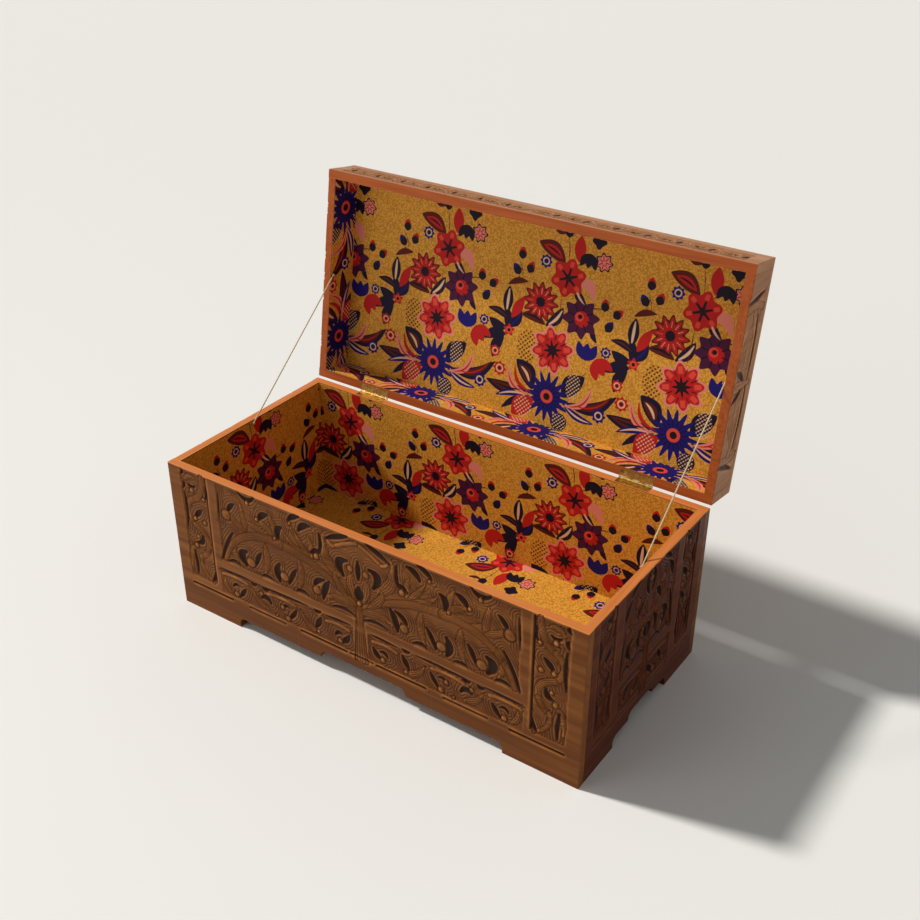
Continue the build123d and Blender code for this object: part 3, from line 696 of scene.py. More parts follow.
    def groove(self, start: tuple, middle: tuple, end: tuple, width: float, floor: float) -> None:
        """Cut a groove with slanting walls.

        Args:
            start: Where it starts.
            middle: Point that pulls it.
            end: Where it ends.
            width: Full width in millimetres.
            floor: Height of its bottom.
        """
        line = bow(start, middle, end)
        half = np.full(len(line), width / 2)
        for side in self.sides:
            rows, cols, share, _ = self.near(line * (side, 1), half, 0.5)
            patch = self.height[rows, cols]
            cut = floor + (1 - floor) * np.clip(np.abs(share), 0, 1) ** 3
            self.height[rows, cols] = np.minimum(patch, np.where(np.abs(share) < 1, cut, patch))

    def bed(self, low: tuple, high: tuple, level: float = 0.88) -> None:
        """Sink a panel a little, and let it be scored.

        Args:
            low: Lower left corner of the panel.
            high: Upper right corner.
            level: Height of the bed.
        """
        for side in self.sides:
            ends = sorted((side * low[0], side * high[0]))
            cols = slice(*np.searchsorted(self.across, ends))
            rows = slice(*np.searchsorted(self.up, (low[1], high[1])))
            self.height[rows, cols] = level
            self.foliage[rows, cols] = 1


# ---------------------------------------------------------------- pieces from grids
def new_piece(
    name: str, points: np.ndarray, faces: list, body: str, finish: bpy.types.Material
) -> bpy.types.Object:
    """Make a mesh piece that rides on a body.

    Args:
        name: Name of the piece.
        points: One row of X, Y and Z in metres for each vertex.
        faces: Vertex numbers of each face.
        body: Body that the piece moves with, or an empty text for none yet.
        finish: Material of the piece.

    Returns:
        The piece.
    """
    mesh = bpy.data.meshes.new(name)
    mesh.from_pydata(points.tolist(), [], faces)
    mesh.update()
    mesh.polygons.foreach_set("use_smooth", np.ones(len(mesh.polygons), bool))
    mesh.materials.append(finish)
    piece = link(mesh)
    if body:
        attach(piece, body)
    LOG.info("%s: %d faces", name, len(mesh.polygons))
    return piece


def keep(piece: bpy.types.Object, name: str, values: np.ndarray, kind: str = "FLOAT") -> None:
    """Write one value, or one vector, for each point of a piece.

    Args:
        piece: Piece that gets the attribute.
        name: Name of the attribute.
        values: Values in the order of the vertices.
        kind: FLOAT or FLOAT_VECTOR.
    """
    layer = piece.data.attributes.new(name, kind, "POINT")
    layer.data.foreach_set("value" if kind == "FLOAT" else "vector", values.astype(np.float32).ravel())


def slab_faces(rows: int, cols: int) -> list:
    """List the faces of a closed slab with a dense front and a plain back.

    The front is a grid of quads, row by row.  The back has two rows of points, one under the
    lowest row and one behind the highest, and each column joins them with one quad.

    Args:
        rows: Rows of the front grid.
        cols: Columns of the front grid.

    Returns:
        Vertex numbers of every face, with all faces pointing out.
    """
    grid = np.arange(rows * cols).reshape(rows, cols)
    under = rows * cols + np.arange(cols)
    over = under + cols
    strips = [
        (grid[:-1, :-1], grid[:-1, 1:], grid[1:, 1:], grid[1:, :-1]),
        (under[:-1], under[1:], grid[0, 1:], grid[0, :-1]),
        (grid[-1, :-1], grid[-1, 1:], over[1:], over[:-1]),
        (under[1:], under[:-1], over[:-1], over[1:]),
    ]
    quads = [np.stack([corner.ravel() for corner in strip], axis=1) for strip in strips]
    faces = np.concatenate(quads).tolist()
    faces.append([int(under[0]), *grid[:, 0].tolist(), int(over[0])])
    faces.append([int(over[-1]), *grid[::-1, -1].tolist(), int(under[-1])])
    return faces


@dataclass
class Slab:
    """A board or a lining as a closed slab whose front is a height field.

    Attributes:
        name: Name of the piece.
        face: Where the front lies.
        across: Places of the columns in millimetres.
        up: Places of the rows in millimetres.
        thickness: Thickness in millimetres.
    """

    name: str
    face: Face
    across: np.ndarray
    up: np.ndarray
    thickness: float

    def build(
        self,
        height: np.ndarray,
        body: str,
        finish: bpy.types.Material,
        slot: str,
        fields: dict[str, np.ndarray],
        foot: np.ndarray | None = None,
    ) -> bpy.types.Object:
        """Build the slab.

        Args:
            height: Height of the front over its face in millimetres, row by row.
            body: Body that the slab moves with.
            finish: Material of the slab.
            slot: Material slot of the record; not used.
            fields: Point attributes of the front grid by name.
            foot: Lowest place of each column, where it isn't the first row; the rows up to
                FREE millimetres are drawn together over it.

        Returns:
            The piece.
        """
        u, v = np.meshgrid(self.across, self.up)
        if foot is not None:
            v = np.where(v < FREE, foot + v * (FREE - foot) / FREE, v)
        back_u = np.concatenate([u[0], u[-1]])
        back_v = np.concatenate([v[0], v[-1]])
        back = self.face.place(back_u, back_v, np.full(len(back_u), -self.thickness))
        points = np.concatenate([self.face.place(u, v, height), back])
        piece = new_piece(self.name, points, slab_faces(*u.shape), body, finish)
        front = (u.shape[0] - 1) * (u.shape[1] - 1)
        piece.data.polygons.foreach_set("use_smooth", np.arange(len(piece.data.polygons)) < front)
        for name, values in fields.items():
            behind = values[[0, -1]].reshape(len(back_u), -1)
            padded = np.concatenate([values.reshape(u.size, -1), behind])
            keep(piece, name, padded, "FLOAT" if values.ndim == 2 else "FLOAT_VECTOR")
        return piece


def ruled(low: float, high: float, pitch: float, corners: tuple = ()) -> np.ndarray:
    """Space grid lines evenly, with closer lines at both ends for the rounded arrises.

    Args:
        low: First place in millimetres.
        high: Last place.
        pitch: Distance from line to line.
        corners: Places that get a line on each side, 0.02 mm off.

    Returns:
        The places in rising order.
    """
    even = np.linspace(low, high, round((high - low) / pitch) + 1)
    close = np.array([0.3, 0.8])
    extra = [low + close, high - close] + [np.array([place - 0.02, place + 0.02]) for place in corners]
    return np.unique(np.concatenate([even, *extra]))


def arris(gap: np.ndarray, radius: float) -> np.ndarray:
    """Return how far a quarter round of a radius has fallen at a distance from its edge."""
    return radius - np.sqrt(np.clip(radius**2 - np.clip(radius - gap, 0, radius) ** 2, 0, None))


# ---------------------------------------------------------------- carved boards
@dataclass
class CarvedBoard:
    """A carved board of the box or the lid.

    Attributes:
        name: Name of the piece, and of its parts if it is split.
        node: Solid that the piece stands for.
        face: Where the carved face lies.
        half: Half of the board's length in millimetres.
        low: Lowest place of the face.
        high: Highest place of the face.
        body: Body that the board moves with.
        depth: Depth of the ground in millimetres.
        pitch: Distance between grid lines.
        splits: Number of pieces side by side.
        foot: Length of a foot, or 0 for a straight edge.
        crown: Half width of the raised middle of the cut-out.
        thickness: Thickness of the board.
        rise: Height of the cut-out at its ends over the ground.
        crown_rise: Height of the cut-out at its middle.
        curve: Radius of the cut-out's corners.
    """

    name: str
    node: str
    face: Face
    half: float
    low: float
    high: float
    body: str
    depth: float = 6.0
    pitch: float = 1.45
    splits: int = 1
    foot: float = 0.0
    crown: float = 0.0
    thickness: float = 19.0
    rise: float = 25.0
    crown_rise: float = 42.0
    curve: float = 14.0
    across: np.ndarray = field(init=False)
    up: np.ndarray = field(init=False)

    def __post_init__(self) -> None:
        """Rule the grid."""
        bends = (self.half - self.foot,) if self.foot else ()
        self.across = ruled(-self.half, self.half, self.pitch, bends + tuple(-bend for bend in bends))
        self.up = ruled(self.low, self.high, self.pitch)

    def edge(self) -> np.ndarray:
        """Work out the lower edge of each column: feet, a quarter round, a step and a crown.

        Returns:
            Height of the edge over the ground in millimetres for each column.
        """
        u = np.abs(self.across)
        inner = self.half - self.foot
        step = self.crown_rise - self.rise
        bend = np.clip(u - (inner - self.curve), 0, self.curve)
        low = self.rise - self.curve + np.sqrt(self.curve**2 - bend**2)
        rim = np.clip(u - (self.crown - step), 0, step)
        high = self.rise + np.sqrt(step**2 - rim**2)
        shape = np.where(u < self.crown, high, low)
        return np.where(u < inner, shape, 0.0)

    def build(self, relief: Relief, finish: bpy.types.Material) -> list[bpy.types.Object]:
        """Build the board from its carving, with the slow unevenness of hand work in it.

        Args:
            relief: The carving.
            finish: Material of the board.

        Returns:
            The pieces, side by side.
        """
        u, v = np.meshgrid(self.across, self.up)
        foot = self.edge() if self.foot else None
        gap = np.minimum(self.half - np.abs(u), self.high - v)
        if foot is None:
            gap = np.minimum(gap, v - self.low)
        hand = 0.12 * np.sin(u / 37 + 1.3) * np.sin(v / 23) + 0.08 * np.sin(u / 9.1 + v / 7.3)
        cut = np.where(relief.height < CUT, 0.3 + hand, 0)
        height = -self.depth * (1 - relief.height) - arris(gap, ARRIS) - cut
        crest = relief.height - smooth(relief.height, 3)
        fields = {
            "depth": 1 - smooth(relief.height, 1),
            # crest, with 0.1 more near the board's outline: a painted highlight along the arrises
            "crest": crest + 0.1 * np.clip(1 - gap / 2.5, 0, 1),
        }
        cuts = np.linspace(0, len(self.across) - 1, self.splits + 1).astype(int)
        pieces = []
        for index, (start, stop) in enumerate(zip(cuts[:-1], cuts[1:] + 1)):
            name = self.name if self.splits == 1 else f"{self.name}_{index + 1}"
            slab = Slab(name, self.face, self.across[start:stop], self.up, self.thickness)
            piece = slab.build(
                height[:, start:stop],
                self.body,
                finish,
                "varnished_wood",
                {key: values[:, start:stop] for key, values in fields.items()},
                foot[start:stop] if foot is not None else None,
            )
            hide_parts(self.node)
            pieces.append(piece)
        return pieces


@dataclass
class Ornament:
    """The carver's repertoire, laid out in millimetres on a board's own axes."""

    relief: Relief

    def curl(self, u: float, v: float, size: float, way: int, reeds: int = 3) -> None:
        """Raise an acanthus curl round its eye.

        Args:
            u: Middle of the curl across the board.
            v: Middle of the curl up the board.
            size: Outer radius.
            way: 1 where it turns left, -1 where it turns right.
            reeds: Flutes along the curl.
        """
        r = self.relief
        ring = spiral((u, v), (size * 0.98, size * 0.7), (way * -60, way * 230))
        r.stem(ring, (size * 0.46, size * 0.34), reeds)
        for lens, width in (
            (((-0.42, -0.2), (-0.4, 0.5), (0.34, 0.36)), 0.52),
            (((-0.3, -0.4), (0.1, -0.6), (0.44, -0.1)), 0.26),
        ):
            r.pocket(bow(*((u + size * a, v + way * size * b) for a, b in lens)), size * width)
        r.boss(u + size * 0.04, v - way * size * 0.06, size * 0.27)

    def fan(self, foot: tuple, tips: tuple, width: float, reeds: int = 4) -> None:
        """Raise a fan of leaves from one foot.

        Args:
            foot: Where the leaves spring from.
            tips: Pairs of a control point and a tip for each leaf.
            width: Width of a leaf.
            reeds: Number of reeds along a leaf.
        """
        for control, tip in tips:
            self.relief.leaf(bow(foot, control, tip), width, reeds)

    def leaves(self, *rows: tuple) -> None:
        """Raise leaves, each from its three points, its width and its reeds."""
        for start, bend, end, width, reeds in rows:
            self.relief.leaf(bow(start, bend, end), width, reeds)

    def vine(self, reeds: int, *rows: tuple) -> None:
        """Raise runs of stem, each from its three points and its first and last width."""
        for start, bend, end, widths in rows:
            self.relief.stem(bow(start, bend, end), widths, reeds)


class FrontOrnament(Ornament):
    """The carving of the box front, mirrored about its middle."""

    def draw(self, rim: float) -> None:
        """Lay out the whole front.

        Args:
            rim: Height of the rim in millimetres.
        """
        self.field(rim - 5)
        self.band()
        self.column(rim - 5)
        self.relief.score()
        for u, v, size in (
            *((19, 281, 10), (0, 205, 8), (108, 192, 13), (194, 189, 14), (285, 188, 15), (344, 283, 16)),
            *((104, 275, 9), (281, 334, 6), (258, 304, 6), (169, 328, 5), (212, 276, 6)),
            *((54, 90, 8), (193, 84, 9), (223, 80, 5), (337, 86, 9), (206, 108, 7), (264, 118, 7)),
            (110, 88, 6),
            *((438, 308, 8), (437, 240, 7), (406, 297, 6), (443, 170, 8), (410, 238, 8), (434, 196, 6)),
        ):
            self.relief.boss(u, v, size * 0.8)

    def field(self, top: float) -> None:
        """Carve the large field: a plant with a roof over it, three hooded volutes on each
        side under an arching stem, and a row of curls and leaves over it.

        Args:
            top: Upper edge of the field in millimetres.
        """
        r = self.relief
        r.bed((0, 165), (366, top))
        self.leaves(((44, 250), (100, 280), (80, 344), 28, 5))
        self.vine(1, ((0, 346), (30, 336), (58, 318), (9, 8)), ((58, 318), (66, 318), (74, 328), (8, 6)))
        tips = (((112, 296), (124, 318)), ((142, 285), (160, 318)), ((164, 270), (188, 302)))
        self.fan((118, 262), tips, 17)
        tips = (((226, 296), (262, 304)), ((246, 274), (304, 296)), ((210, 300), (226, 336)))
        self.fan((202, 270), tips, 19, 5)
        self.fan((290, 262), (((296, 296), (300, 330)), ((316, 270), (352, 300))), 18)
        self.leaves(
            ((150, 250), (140, 205), (160, 170), 20, 5), ((240, 252), (232, 205), (250, 170), 20, 5),
            ((322, 244), (344, 205), (318, 170), 20, 5),
        )
        self.vine(
            5,
            ((6, 196), (92, 262), (200, 267), (12, 22)),
            ((200, 267), (322, 272), (358, 168), (22, 12)),
        )
        self.leaves(
            ((4, 184), (46, 208), (88, 186), 24, 5), ((10, 212), (30, 262), (12, 268), 19, 3),
            ((22, 206), (66, 236), (56, 262), 20, 4),
        )
        self.vine(5, ((0, 66), (0, 120), (0, 200), (34, 14)))
        r.hollows(
            ((24, 352), (48, 343), (76, 329), 12), ((28, 295), (47, 284), (37, 257), 18),
            ((0, 304), (0, 283), (0, 262), 12), ((0, 242), (0, 228), (0, 211), 22),
            ((94, 334), (92, 308), (97, 284), 8), ((96, 291), (106, 287), (118, 279), 12),
            ((118, 340), (135, 334), (147, 319), 14), ((144, 352), (160, 346), (173, 334), 12),
            ((193, 309), (204, 297), (203, 279), 15), ((229, 325), (243, 318), (254, 305), 14),
            ((262, 352), (281, 341), (302, 350), 11), ((320, 317), (331, 307), (340, 292), 11),
            ((332, 243), (353, 205), (369, 165), 8), ((362, 332), (364, 298), (366, 262), 4),
            ((76, 224), (86, 205), (92, 179), 15), ((88, 225), (105, 216), (114, 203), 12),
            ((161, 219), (172, 200), (182, 177), 11), ((206, 215), (213, 194), (207, 173), 17),
            ((255, 222), (264, 206), (272, 186), 11), ((297, 211), (310, 196), (299, 175), 20),
            ((11, 169), (40, 176), (68, 170), 8), ((130, 168), (147, 173), (162, 168), 9),
            ((223, 167), (240, 171), (256, 167), 7), ((316, 167), (332, 172), (348, 167), 8),
        )

    def band(self) -> None:
        """Carve the low band under the field: curls under bars, joined by leaves, between two
        broken lines."""
        r = self.relief
        r.bed((18, 76), (378, 141))
        for start, end in ((30, 88), (172, 246), (304, 374)):
            self.vine(1, ((start, 126), ((start + end) / 2, 133), (end, 125), (9, 8)))
        for u in (122, 258):
            self.leaves(((u - 12, 86), (u + 20, 88), (u + 34, 124), 18, 4))
        self.leaves(((352, 84), (372, 96), (366, 122), 15, 3))
        r.hollows(
            ((26, 141), (56, 140), (88, 138), 6), ((103, 141), (111, 138), (119, 140), 9),
            ((136, 140), (194, 139), (252, 137), 6), ((243, 136), (251, 132), (259, 136), 9),
            ((277, 136), (284, 132), (291, 136), 8), ((296, 138), (338, 137), (380, 134), 5),
            ((31, 111), (38, 98), (50, 88), 13), ((48, 108), (58, 109), (66, 100), 9),
            ((103, 124), (109, 111), (117, 96), 13), ((169, 114), (177, 100), (190, 84), 10),
            ((188, 112), (198, 114), (206, 106), 7), ((239, 102), (250, 112), (264, 107), 13),
            ((310, 108), (318, 96), (328, 82), 10), ((328, 108), (338, 110), (346, 102), 7),
        )
        for start, end, height in ((0, 28, 71), (38, 158, 70), (200, 300, 68), (350, 466, 66)):
            r.groove((start, height), ((start + end) / 2, height), (end, height), 5.4, 0.1)

    def column(self, top: float) -> None:
        """Carve the tall column: a reeded stem in long S bends with curled leaves.

        Args:
            top: Upper edge of the column in millimetres.
        """
        r = self.relief
        low = 86
        r.bed((396, low), (468, top))
        self.vine(
            4,
            ((406, 350), (406, 300), (440, 286), (14, 15)),
            ((440, 286), (474, 262), (440, 224), (15, 14)),
            ((440, 224), (396, 208), (408, 172), (14, 14)),
            ((408, 172), (416, 150), (432, 146), (14, 12)),
            ((432, 146), (440, 112), (402, 88), (12, 8)),
        )
        self.leaves(
            ((442, 166), (468, 160), (462, 96), 16, 4),
            ((424, 340), (450, 352), (456, 322), 14, 3),
        )
        r.hollows(
            ((462, 352), (461, 347), (466, 341), 7), ((462, 323), (460, 316), (464, 307), 7),
            ((461, 298), (459, 255), (463, 211), 7), ((452, 155), (449, 124), (450, 93), 8),
            ((397, 116), (399, 103), (406, 91), 9), ((428, 322), (438, 317), (448, 322), 8),
            ((417, 266), (427, 256), (438, 243), 12), ((422, 200), (426, 184), (442, 178), 12),
            ((398, 330), (397, 312), (401, 300), 6),
        )
        r.groove((394, low + 6), (394, 220), (394, top), 4.0, 0.05)


class EndOrnament(Ornament):
    """The carving of a box end, mirrored about its middle."""

    def draw(self, rim: float) -> None:
        """Lay out the whole end.

        Args:
            rim: Height of the rim in millimetres.
        """
        r = self.relief
        top = rim - 5
        r.bed((0, 165), (104, top))
        r.bed((14, 76), (104, 141))
        r.bed((137, 86), (192, top))
        self.fan((8, 250), (((24, 268), (22, 304)), ((42, 262), (80, 276)), ((48, 292), (60, 330))), 19)
        self.leaves(((5, 204), (38, 232), (26, 262), 18, 4), ((4, 184), (30, 204), (52, 184), 20, 4))
        self.vine(4, ((4, 196), (58, 268), (98, 168), (12, 16)), ((0, 66), (0, 150), (0, 236), (28, 12)))
        self.vine(1, ((20, 126), (52, 133), (94, 125), (9, 8)))
        self.vine(
            4,
            ((144, 350), (140, 300), (164, 288), (12, 13)),
            ((164, 288), (196, 262), (168, 220), (13, 13)),
            ((168, 220), (134, 190), (152, 152), (13, 12)),
            ((152, 152), (166, 120), (146, 88), (12, 8)),
        )
        self.leaves(((160, 156), (190, 138), (182, 98), 15, 3))
        r.hollows(
            ((8, 350), (14, 326), (6, 302), 13), ((28, 292), (38, 282), (45, 267), 13),
            ((77, 324), (88, 308), (93, 290), 14), ((50, 352), (66, 345), (78, 336), 11),
            ((3, 228), (8, 214), (3, 200), 13), ((25, 234), (35, 216), (32, 194), 13),
            ((64, 228), (76, 212), (68, 190), 17), ((90, 252), (99, 215), (103, 167), 8),
            ((12, 169), (34, 176), (57, 169), 8), ((68, 168), (80, 173), (95, 168), 8),
            ((16, 141), (58, 140), (102, 138), 5), ((21, 111), (29, 98), (41, 87), 12),
            ((62, 122), (68, 110), (77, 97), 12), ((149, 341), (158, 334), (167, 339), 9),
            ((187, 302), (184, 282), (188, 261), 9), ((145, 268), (155, 256), (167, 245), 13),
            ((147, 210), (153, 198), (165, 189), 12), ((187, 170), (184, 140), (186, 106), 8),
            ((140, 152), (139, 130), (143, 102), 7), ((139, 322), (138, 304), (142, 288), 6),
        )
        r.score()
        for start, end in ((14, 100), (112, 196)):
            r.groove((start, 68), ((start + end) / 2, 67), (end, 68), 5.4, 0.1)
        for u in (135.5, 193.5):
            r.groove((u, 92), (u, 200), (u, top), 3.6, 0.1)
        for u, v, size in (
            *((0, 332, 8), (52, 190, 13), (84, 262, 8), (50, 304, 11), (44, 90, 8), (82, 92, 7)),
            *((160, 322, 8), (168, 240, 7), (144, 230, 7), (166, 182, 8)),
        ):
            r.boss(u, v, size)


class LidOrnament(Ornament):
    """The carving of the lid: running scrolls on its sides, a bordered field on its top."""

    def running(self, half: float, low: float, high: float) -> None:
        """Carve a scroll that runs along a side of the lid.

        Args:
            half: Half of its length.
            low: Lower edge of the carving.
            high: Upper edge.
        """
        r = self.relief
        turns = round(half / 65.0)
        reach = half / turns / 2
        middle = (low + high) / 2
        r.bed((0, low), (half, high))
        for index, u in enumerate((np.arange(turns) + 0.5) * half / turns):
            way = 1 if index % 2 else -1
            self.curl(u, middle + 3 * way, 17, way)
            foot, crown = middle - way * 14, middle + way * 38
            self.vine(3, ((u - reach, foot), (u, crown), (u + reach, foot), (9, 9)))
            r.pocket(bow((u + 22, middle - 8), (u + 27, middle + 2), (u + 25, middle + 12)), 8)
            points = [(u + 16, middle + way * 8), (u + 26, middle + way * 22), (u + 38, middle + way * 18)]
            self.leaves((*points, 9, 2))
        r.score()

    def end(self, top: float) -> None:
        """Carve the lid's end: two bowed cuts round a panel with two lobes and a bud.

        Args:
            top: Highest place of the end in millimetres over the rim.
        """
        r = self.relief
        r.bed((0, 5), (160, top - 10), 0.94)
        self.leaves(((14, 18), (60, 4), (128, 40), 30, 5))
        self.vine(1, ((6, 54), (70, 74), (142, 38), (9, 16)))
        r.pocket(bow((8, 63), (70, 70), (136, 58)), 9)
        r.pocket(bow((10, 42), (24, 26), (30, 8)), 13)
        self.vine(3, ((0, 10), (0, 40), (0, 72), (24, 10)), ((150, 72), (164, 40), (150, 4), (14, 16)))
        r.pocket(bow((180, 66), (168, 36), (164, 2)), 10)
        r.score()

    def top(self, half: float, reach: float) -> None:
        """Carve the lid's top: a border of scrolls round a field with curls and leaves.

        Args:
            half: Half of the lid's length.
            reach: Half of its depth.
        """
        for way in (1, -1):
            self.top_side(half, reach, way)
        self.relief.score()
        self.relief.boss(0, 0, 18)

    def top_side(self, half: float, reach: float, way: int) -> None:
        """Carve one side of the lid's top.

        Args:
            half: Half of the lid's length.
            reach: Half of its depth.
            way: 1 for the side at the hinges, -1 for the side at the front.
        """
        r = self.relief
        outer_u, outer_v = half - 24, reach - 24
        inner_u, inner_v = outer_u - 46, outer_v - 46
        turns, rises = 7, 3

        def flip(*points: tuple) -> list:
            """Mirror points about the middle of the lid's depth where way is -1."""
            return [(u, way * v) for u, v in points]

        def bed(low: tuple, high: tuple) -> None:
            """Sink a panel on this side, whichever of its edges comes first."""
            bottom, top = sorted((way * low[1], way * high[1]))
            r.bed((low[0], bottom), (high[0], top))

        bed((0, inner_v), (outer_u, outer_v))
        for u in (np.arange(turns) + 0.5) * inner_u / turns:
            v = way * (inner_v + 23)
            self.curl(u, v, 17, way)
            r.pocket(bow((u + 24, v - 10), (u + 29, v), (u + 26, v + 10)), 8)
            self.leaves(((u + 14, v - way * 12), (u + 30, v - way * 20), (u + 44, v - way * 10), 10, 3))
        bed((inner_u, 0), (outer_u, inner_v))
        for v in (np.arange(rises) + 0.5) * inner_v / rises * way:
            self.curl(inner_u + 23, v, 17, way)
        bed((0, 0), (inner_u - 20, inner_v - 20))
        for *points, width in (
            ((36, 132), (48, 118), (50, 98), 12), ((100, 138), (118, 132), (132, 118), 12),
            ((60, 30), (84, 44), (108, 50), 12), ((168, 92), (180, 112), (178, 132), 12),
            ((186, 20), (198, 36), (196, 56), 13), ((256, 138), (274, 124), (282, 104), 13),
            ((238, 22), (246, 40), (240, 62), 11), ((340, 16), (350, 34), (342, 56), 13),
            ((322, 136), (334, 122), (334, 104), 11), ((396, 56), (390, 74), (400, 92), 10),
        ):
            r.hollows((*flip(*points), width))
        for points in (
            ((8, 16), (60, 84), (112, 78)), ((112, 78), (172, 62), (216, 76)),
            ((216, 76), (270, 96), (326, 78)), ((326, 78), (372, 66), (400, 26)),
        ):
            self.vine(4, (*flip(*points), (14, 13)))
        for points in (
            ((92, 82), (110, 126), (160, 128)), ((160, 64), (196, 40), (226, 12)),
            ((250, 90), (280, 116), (318, 118)), ((344, 70), (352, 36), (386, 12)),
            ((30, 46), (12, 96), (26, 138)), ((44, 12), (80, 6), (112, 14)),
        ):
            self.leaves((*flip(*points), 20, 4))
        for u, v, size in ((74, 112, 25), (148, 34, 27), (218, 116, 27), (292, 38, 31), (368, 112, 27)):
            self.curl(u, way * v, size, way, 4)
        self.leaves((*flip((0, 12), (0, 60), (0, 128)), 26, 5))


# ---------------------------------------------------------------- the cotton print
@dataclass
class CottonPrint:
    """A chintz of garden flowers, as one signed distance in millimetres for each ink.

    Attributes:
        along: Places along the cloth's repeat.
        up: Places up the cloth.
        repeat: Length of the repeat in millimetres.
        layers: Signed distance of each ink, positive inside it.
    """

    along: np.ndarray
    up: np.ndarray
    repeat: float = 300.0
    layers: dict[Ink, np.ndarray] = field(init=False)

    def __post_init__(self) -> None:
        """Start from a bare ground."""
        self.layers = {ink: np.full(self.along.shape, -6.0) for ink in Ink}

    def lay(self, ink: Ink, distance: np.ndarray) -> None:
        """Print a shape: keep the larger distance, no further than 6 mm from its edge."""
        self.layers[ink] = np.maximum(self.layers[ink], np.clip(distance, -6, 6))

    def from_point(self, p: float, q: float) -> tuple[np.ndarray, np.ndarray]:
        """Return the distances along and up from the nearest repeat of a point."""
        along = (self.along - p + self.repeat / 2) % self.repeat - self.repeat / 2
        return along, self.up - q

    def polar(self, p: float, q: float, turn: float = 0.0) -> tuple[np.ndarray, np.ndarray]:
        """Return the distance from a point and the angle about it, less a turn in degrees."""
        x, y = self.from_point(p, q)
        return np.hypot(x, y), np.arctan2(y, x) + radians(turn)

    def flower(
        self, p: float, q: float, radius: float, petals: int, ink: Ink,
        notch: float, sharp: float, turn: float = 0.0,
    ) -> None:
        """Print petals, whose edge lies at R (1 - notch |sin(n a / 2)|^sharp).

        Args:
            p: Middle along the cloth.
            q: Middle up the cloth.
            radius: Reach of the petals.
            petals: Number of petals.
            ink: Ink of the petals.
            notch: Depth of the notches between petals.
            sharp: 1 for pointed petals, 2 for round ones.
            turn: Turn of the first petal in degrees.
        """
        away, angle = self.polar(p, q, turn)
        self.lay(ink, radius * (1 - notch * np.abs(np.sin(petals * angle / 2)) ** sharp) - away)

    def ribs(
        self, p: float, q: float, radius: float, petals: int, ink: Ink,
        reach: tuple, width: float, turn: float = 0.0,
    ) -> None:
        """Print one straight rib along each petal.

        Args:
            p: Middle along the cloth.
            q: Middle up the cloth.
            radius: Reach of the petals.
            petals: Number of petals.
            ink: Ink of the ribs.
            reach: Where a rib starts and ends, as shares of the radius.
            width: Half of a rib's width in millimetres.
            turn: Turn of the first petal in degrees.
        """
        away, angle = self.polar(p, q, turn)
        off = away * np.abs(np.sin(petals * angle / 2)) / petals * 2
        ends = np.minimum(radius * reach[1] - away, away - radius * reach[0])
        self.lay(ink, np.minimum(width - off, ends))

    def disc(self, p: float, q: float, radius: float, ink: Ink, inner: float = 0.0) -> None:
        """Print a disc, or a ring where it has an inner radius."""
        away, _ = self.polar(p, q)
        self.lay(ink, np.minimum(radius - away, away - inner) if inner else radius - away)

    def stipple(self, p: float, q: float, wide: float, high: float, ink: Ink, pitch: float = 11.0) -> None:
        """Print an oval of dots: the lesser of the oval's distance and that of the dots, which
        stand in a square lattice.

        Args:
            p: Middle along the cloth.
            q: Middle up the cloth.
            wide: Half of the oval's width.
            high: Half of its height.
            ink: Ink of the dots.
            pitch: Measure of the lattice.
        """
        x, y = self.from_point(p, q)
        oval = (1 - np.hypot(x / wide, y / high)) * min(wide, high)
        dots = pitch * 0.22 - np.hypot((x + y) % pitch - pitch / 2, (x - y) % pitch - pitch / 2) * 0.7
        self.lay(ink, np.minimum(oval, dots))

    def leaf(
        self, start: tuple, end: tuple, width: float, ink: Ink, rib: Ink | None = None, bend: float = 0.0
    ) -> None:
        """Print a pointed leaf: half width w / 2 sin(pi t)^0.8 about a bowed middle line.

        Args:
            start: Foot of the leaf.
            end: Tip of the leaf.
            width: Full width in millimetres.
            ink: Ink of the leaf.
            rib: Ink of its rib, if it has one.
            bend: Bow of its middle line as a share of its length.
        """
        x, y = self.from_point((start[0] + end[0]) / 2, (start[1] + end[1]) / 2)
        run, rise = end[0] - start[0], end[1] - start[1]
        length = (run**2 + rise**2) ** 0.5
        t = (x * run + y * rise) / length**2 + 0.5
        off = (y * run - x * rise) / length - bend * length * np.sin(pi * np.clip(t, 0, 1))
        inside = np.clip(t, 0, 1)
        beyond = np.abs(t - inside) * length
        self.lay(ink, width / 2 * np.sin(pi * inside) ** 0.8 - np.abs(off) - beyond)
        if rib:
            vein = width * 0.13 * np.sin(pi * inside) - np.abs(off)
            self.lay(rib, np.minimum(vein, np.minimum(t - 0.14, 0.9 - t) * length))

    def bud(self, p: float, q: float, size: float, turn: float, ink: Ink) -> None:
        """Print a pointed bud in a dark cup that covers its lower half.

        Args:
            p: Middle along the cloth.
            q: Middle up the cloth.
            size: Half of its length.
            turn: Direction of its tip in degrees.
            ink: Ink of its petals.
        """
        run, rise = size * cos(radians(turn)), size * sin(radians(turn))
        self.leaf((p - run, q - rise), (p + run, q + rise), size * 1.4, ink)
        foot, lip = (p - run * 1.1, q - rise * 1.1), (p + run * 0.45, q + rise * 0.45)
        self.leaf(foot, lip, size * 1.5, Ink.SHADOW)

    def tulip(self, foot: tuple, turn: float, size: float, ink: Ink) -> None:
        """Print a bell with three points that opens away from its foot.

        Args:
            foot: Where it sits on its stalk.
            turn: Direction in which it opens, in degrees.
            size: Its length.
            ink: Its ink.
        """
        for lean, share in ((-30, 1.0), (0, 0.86), (30, 1.0)):
            aim = radians(turn + lean)
            tip = (foot[0] + size * share * cos(aim), foot[1] + size * share * sin(aim))
            self.leaf(foot, tip, size * 0.46, ink, None, lean / 400)

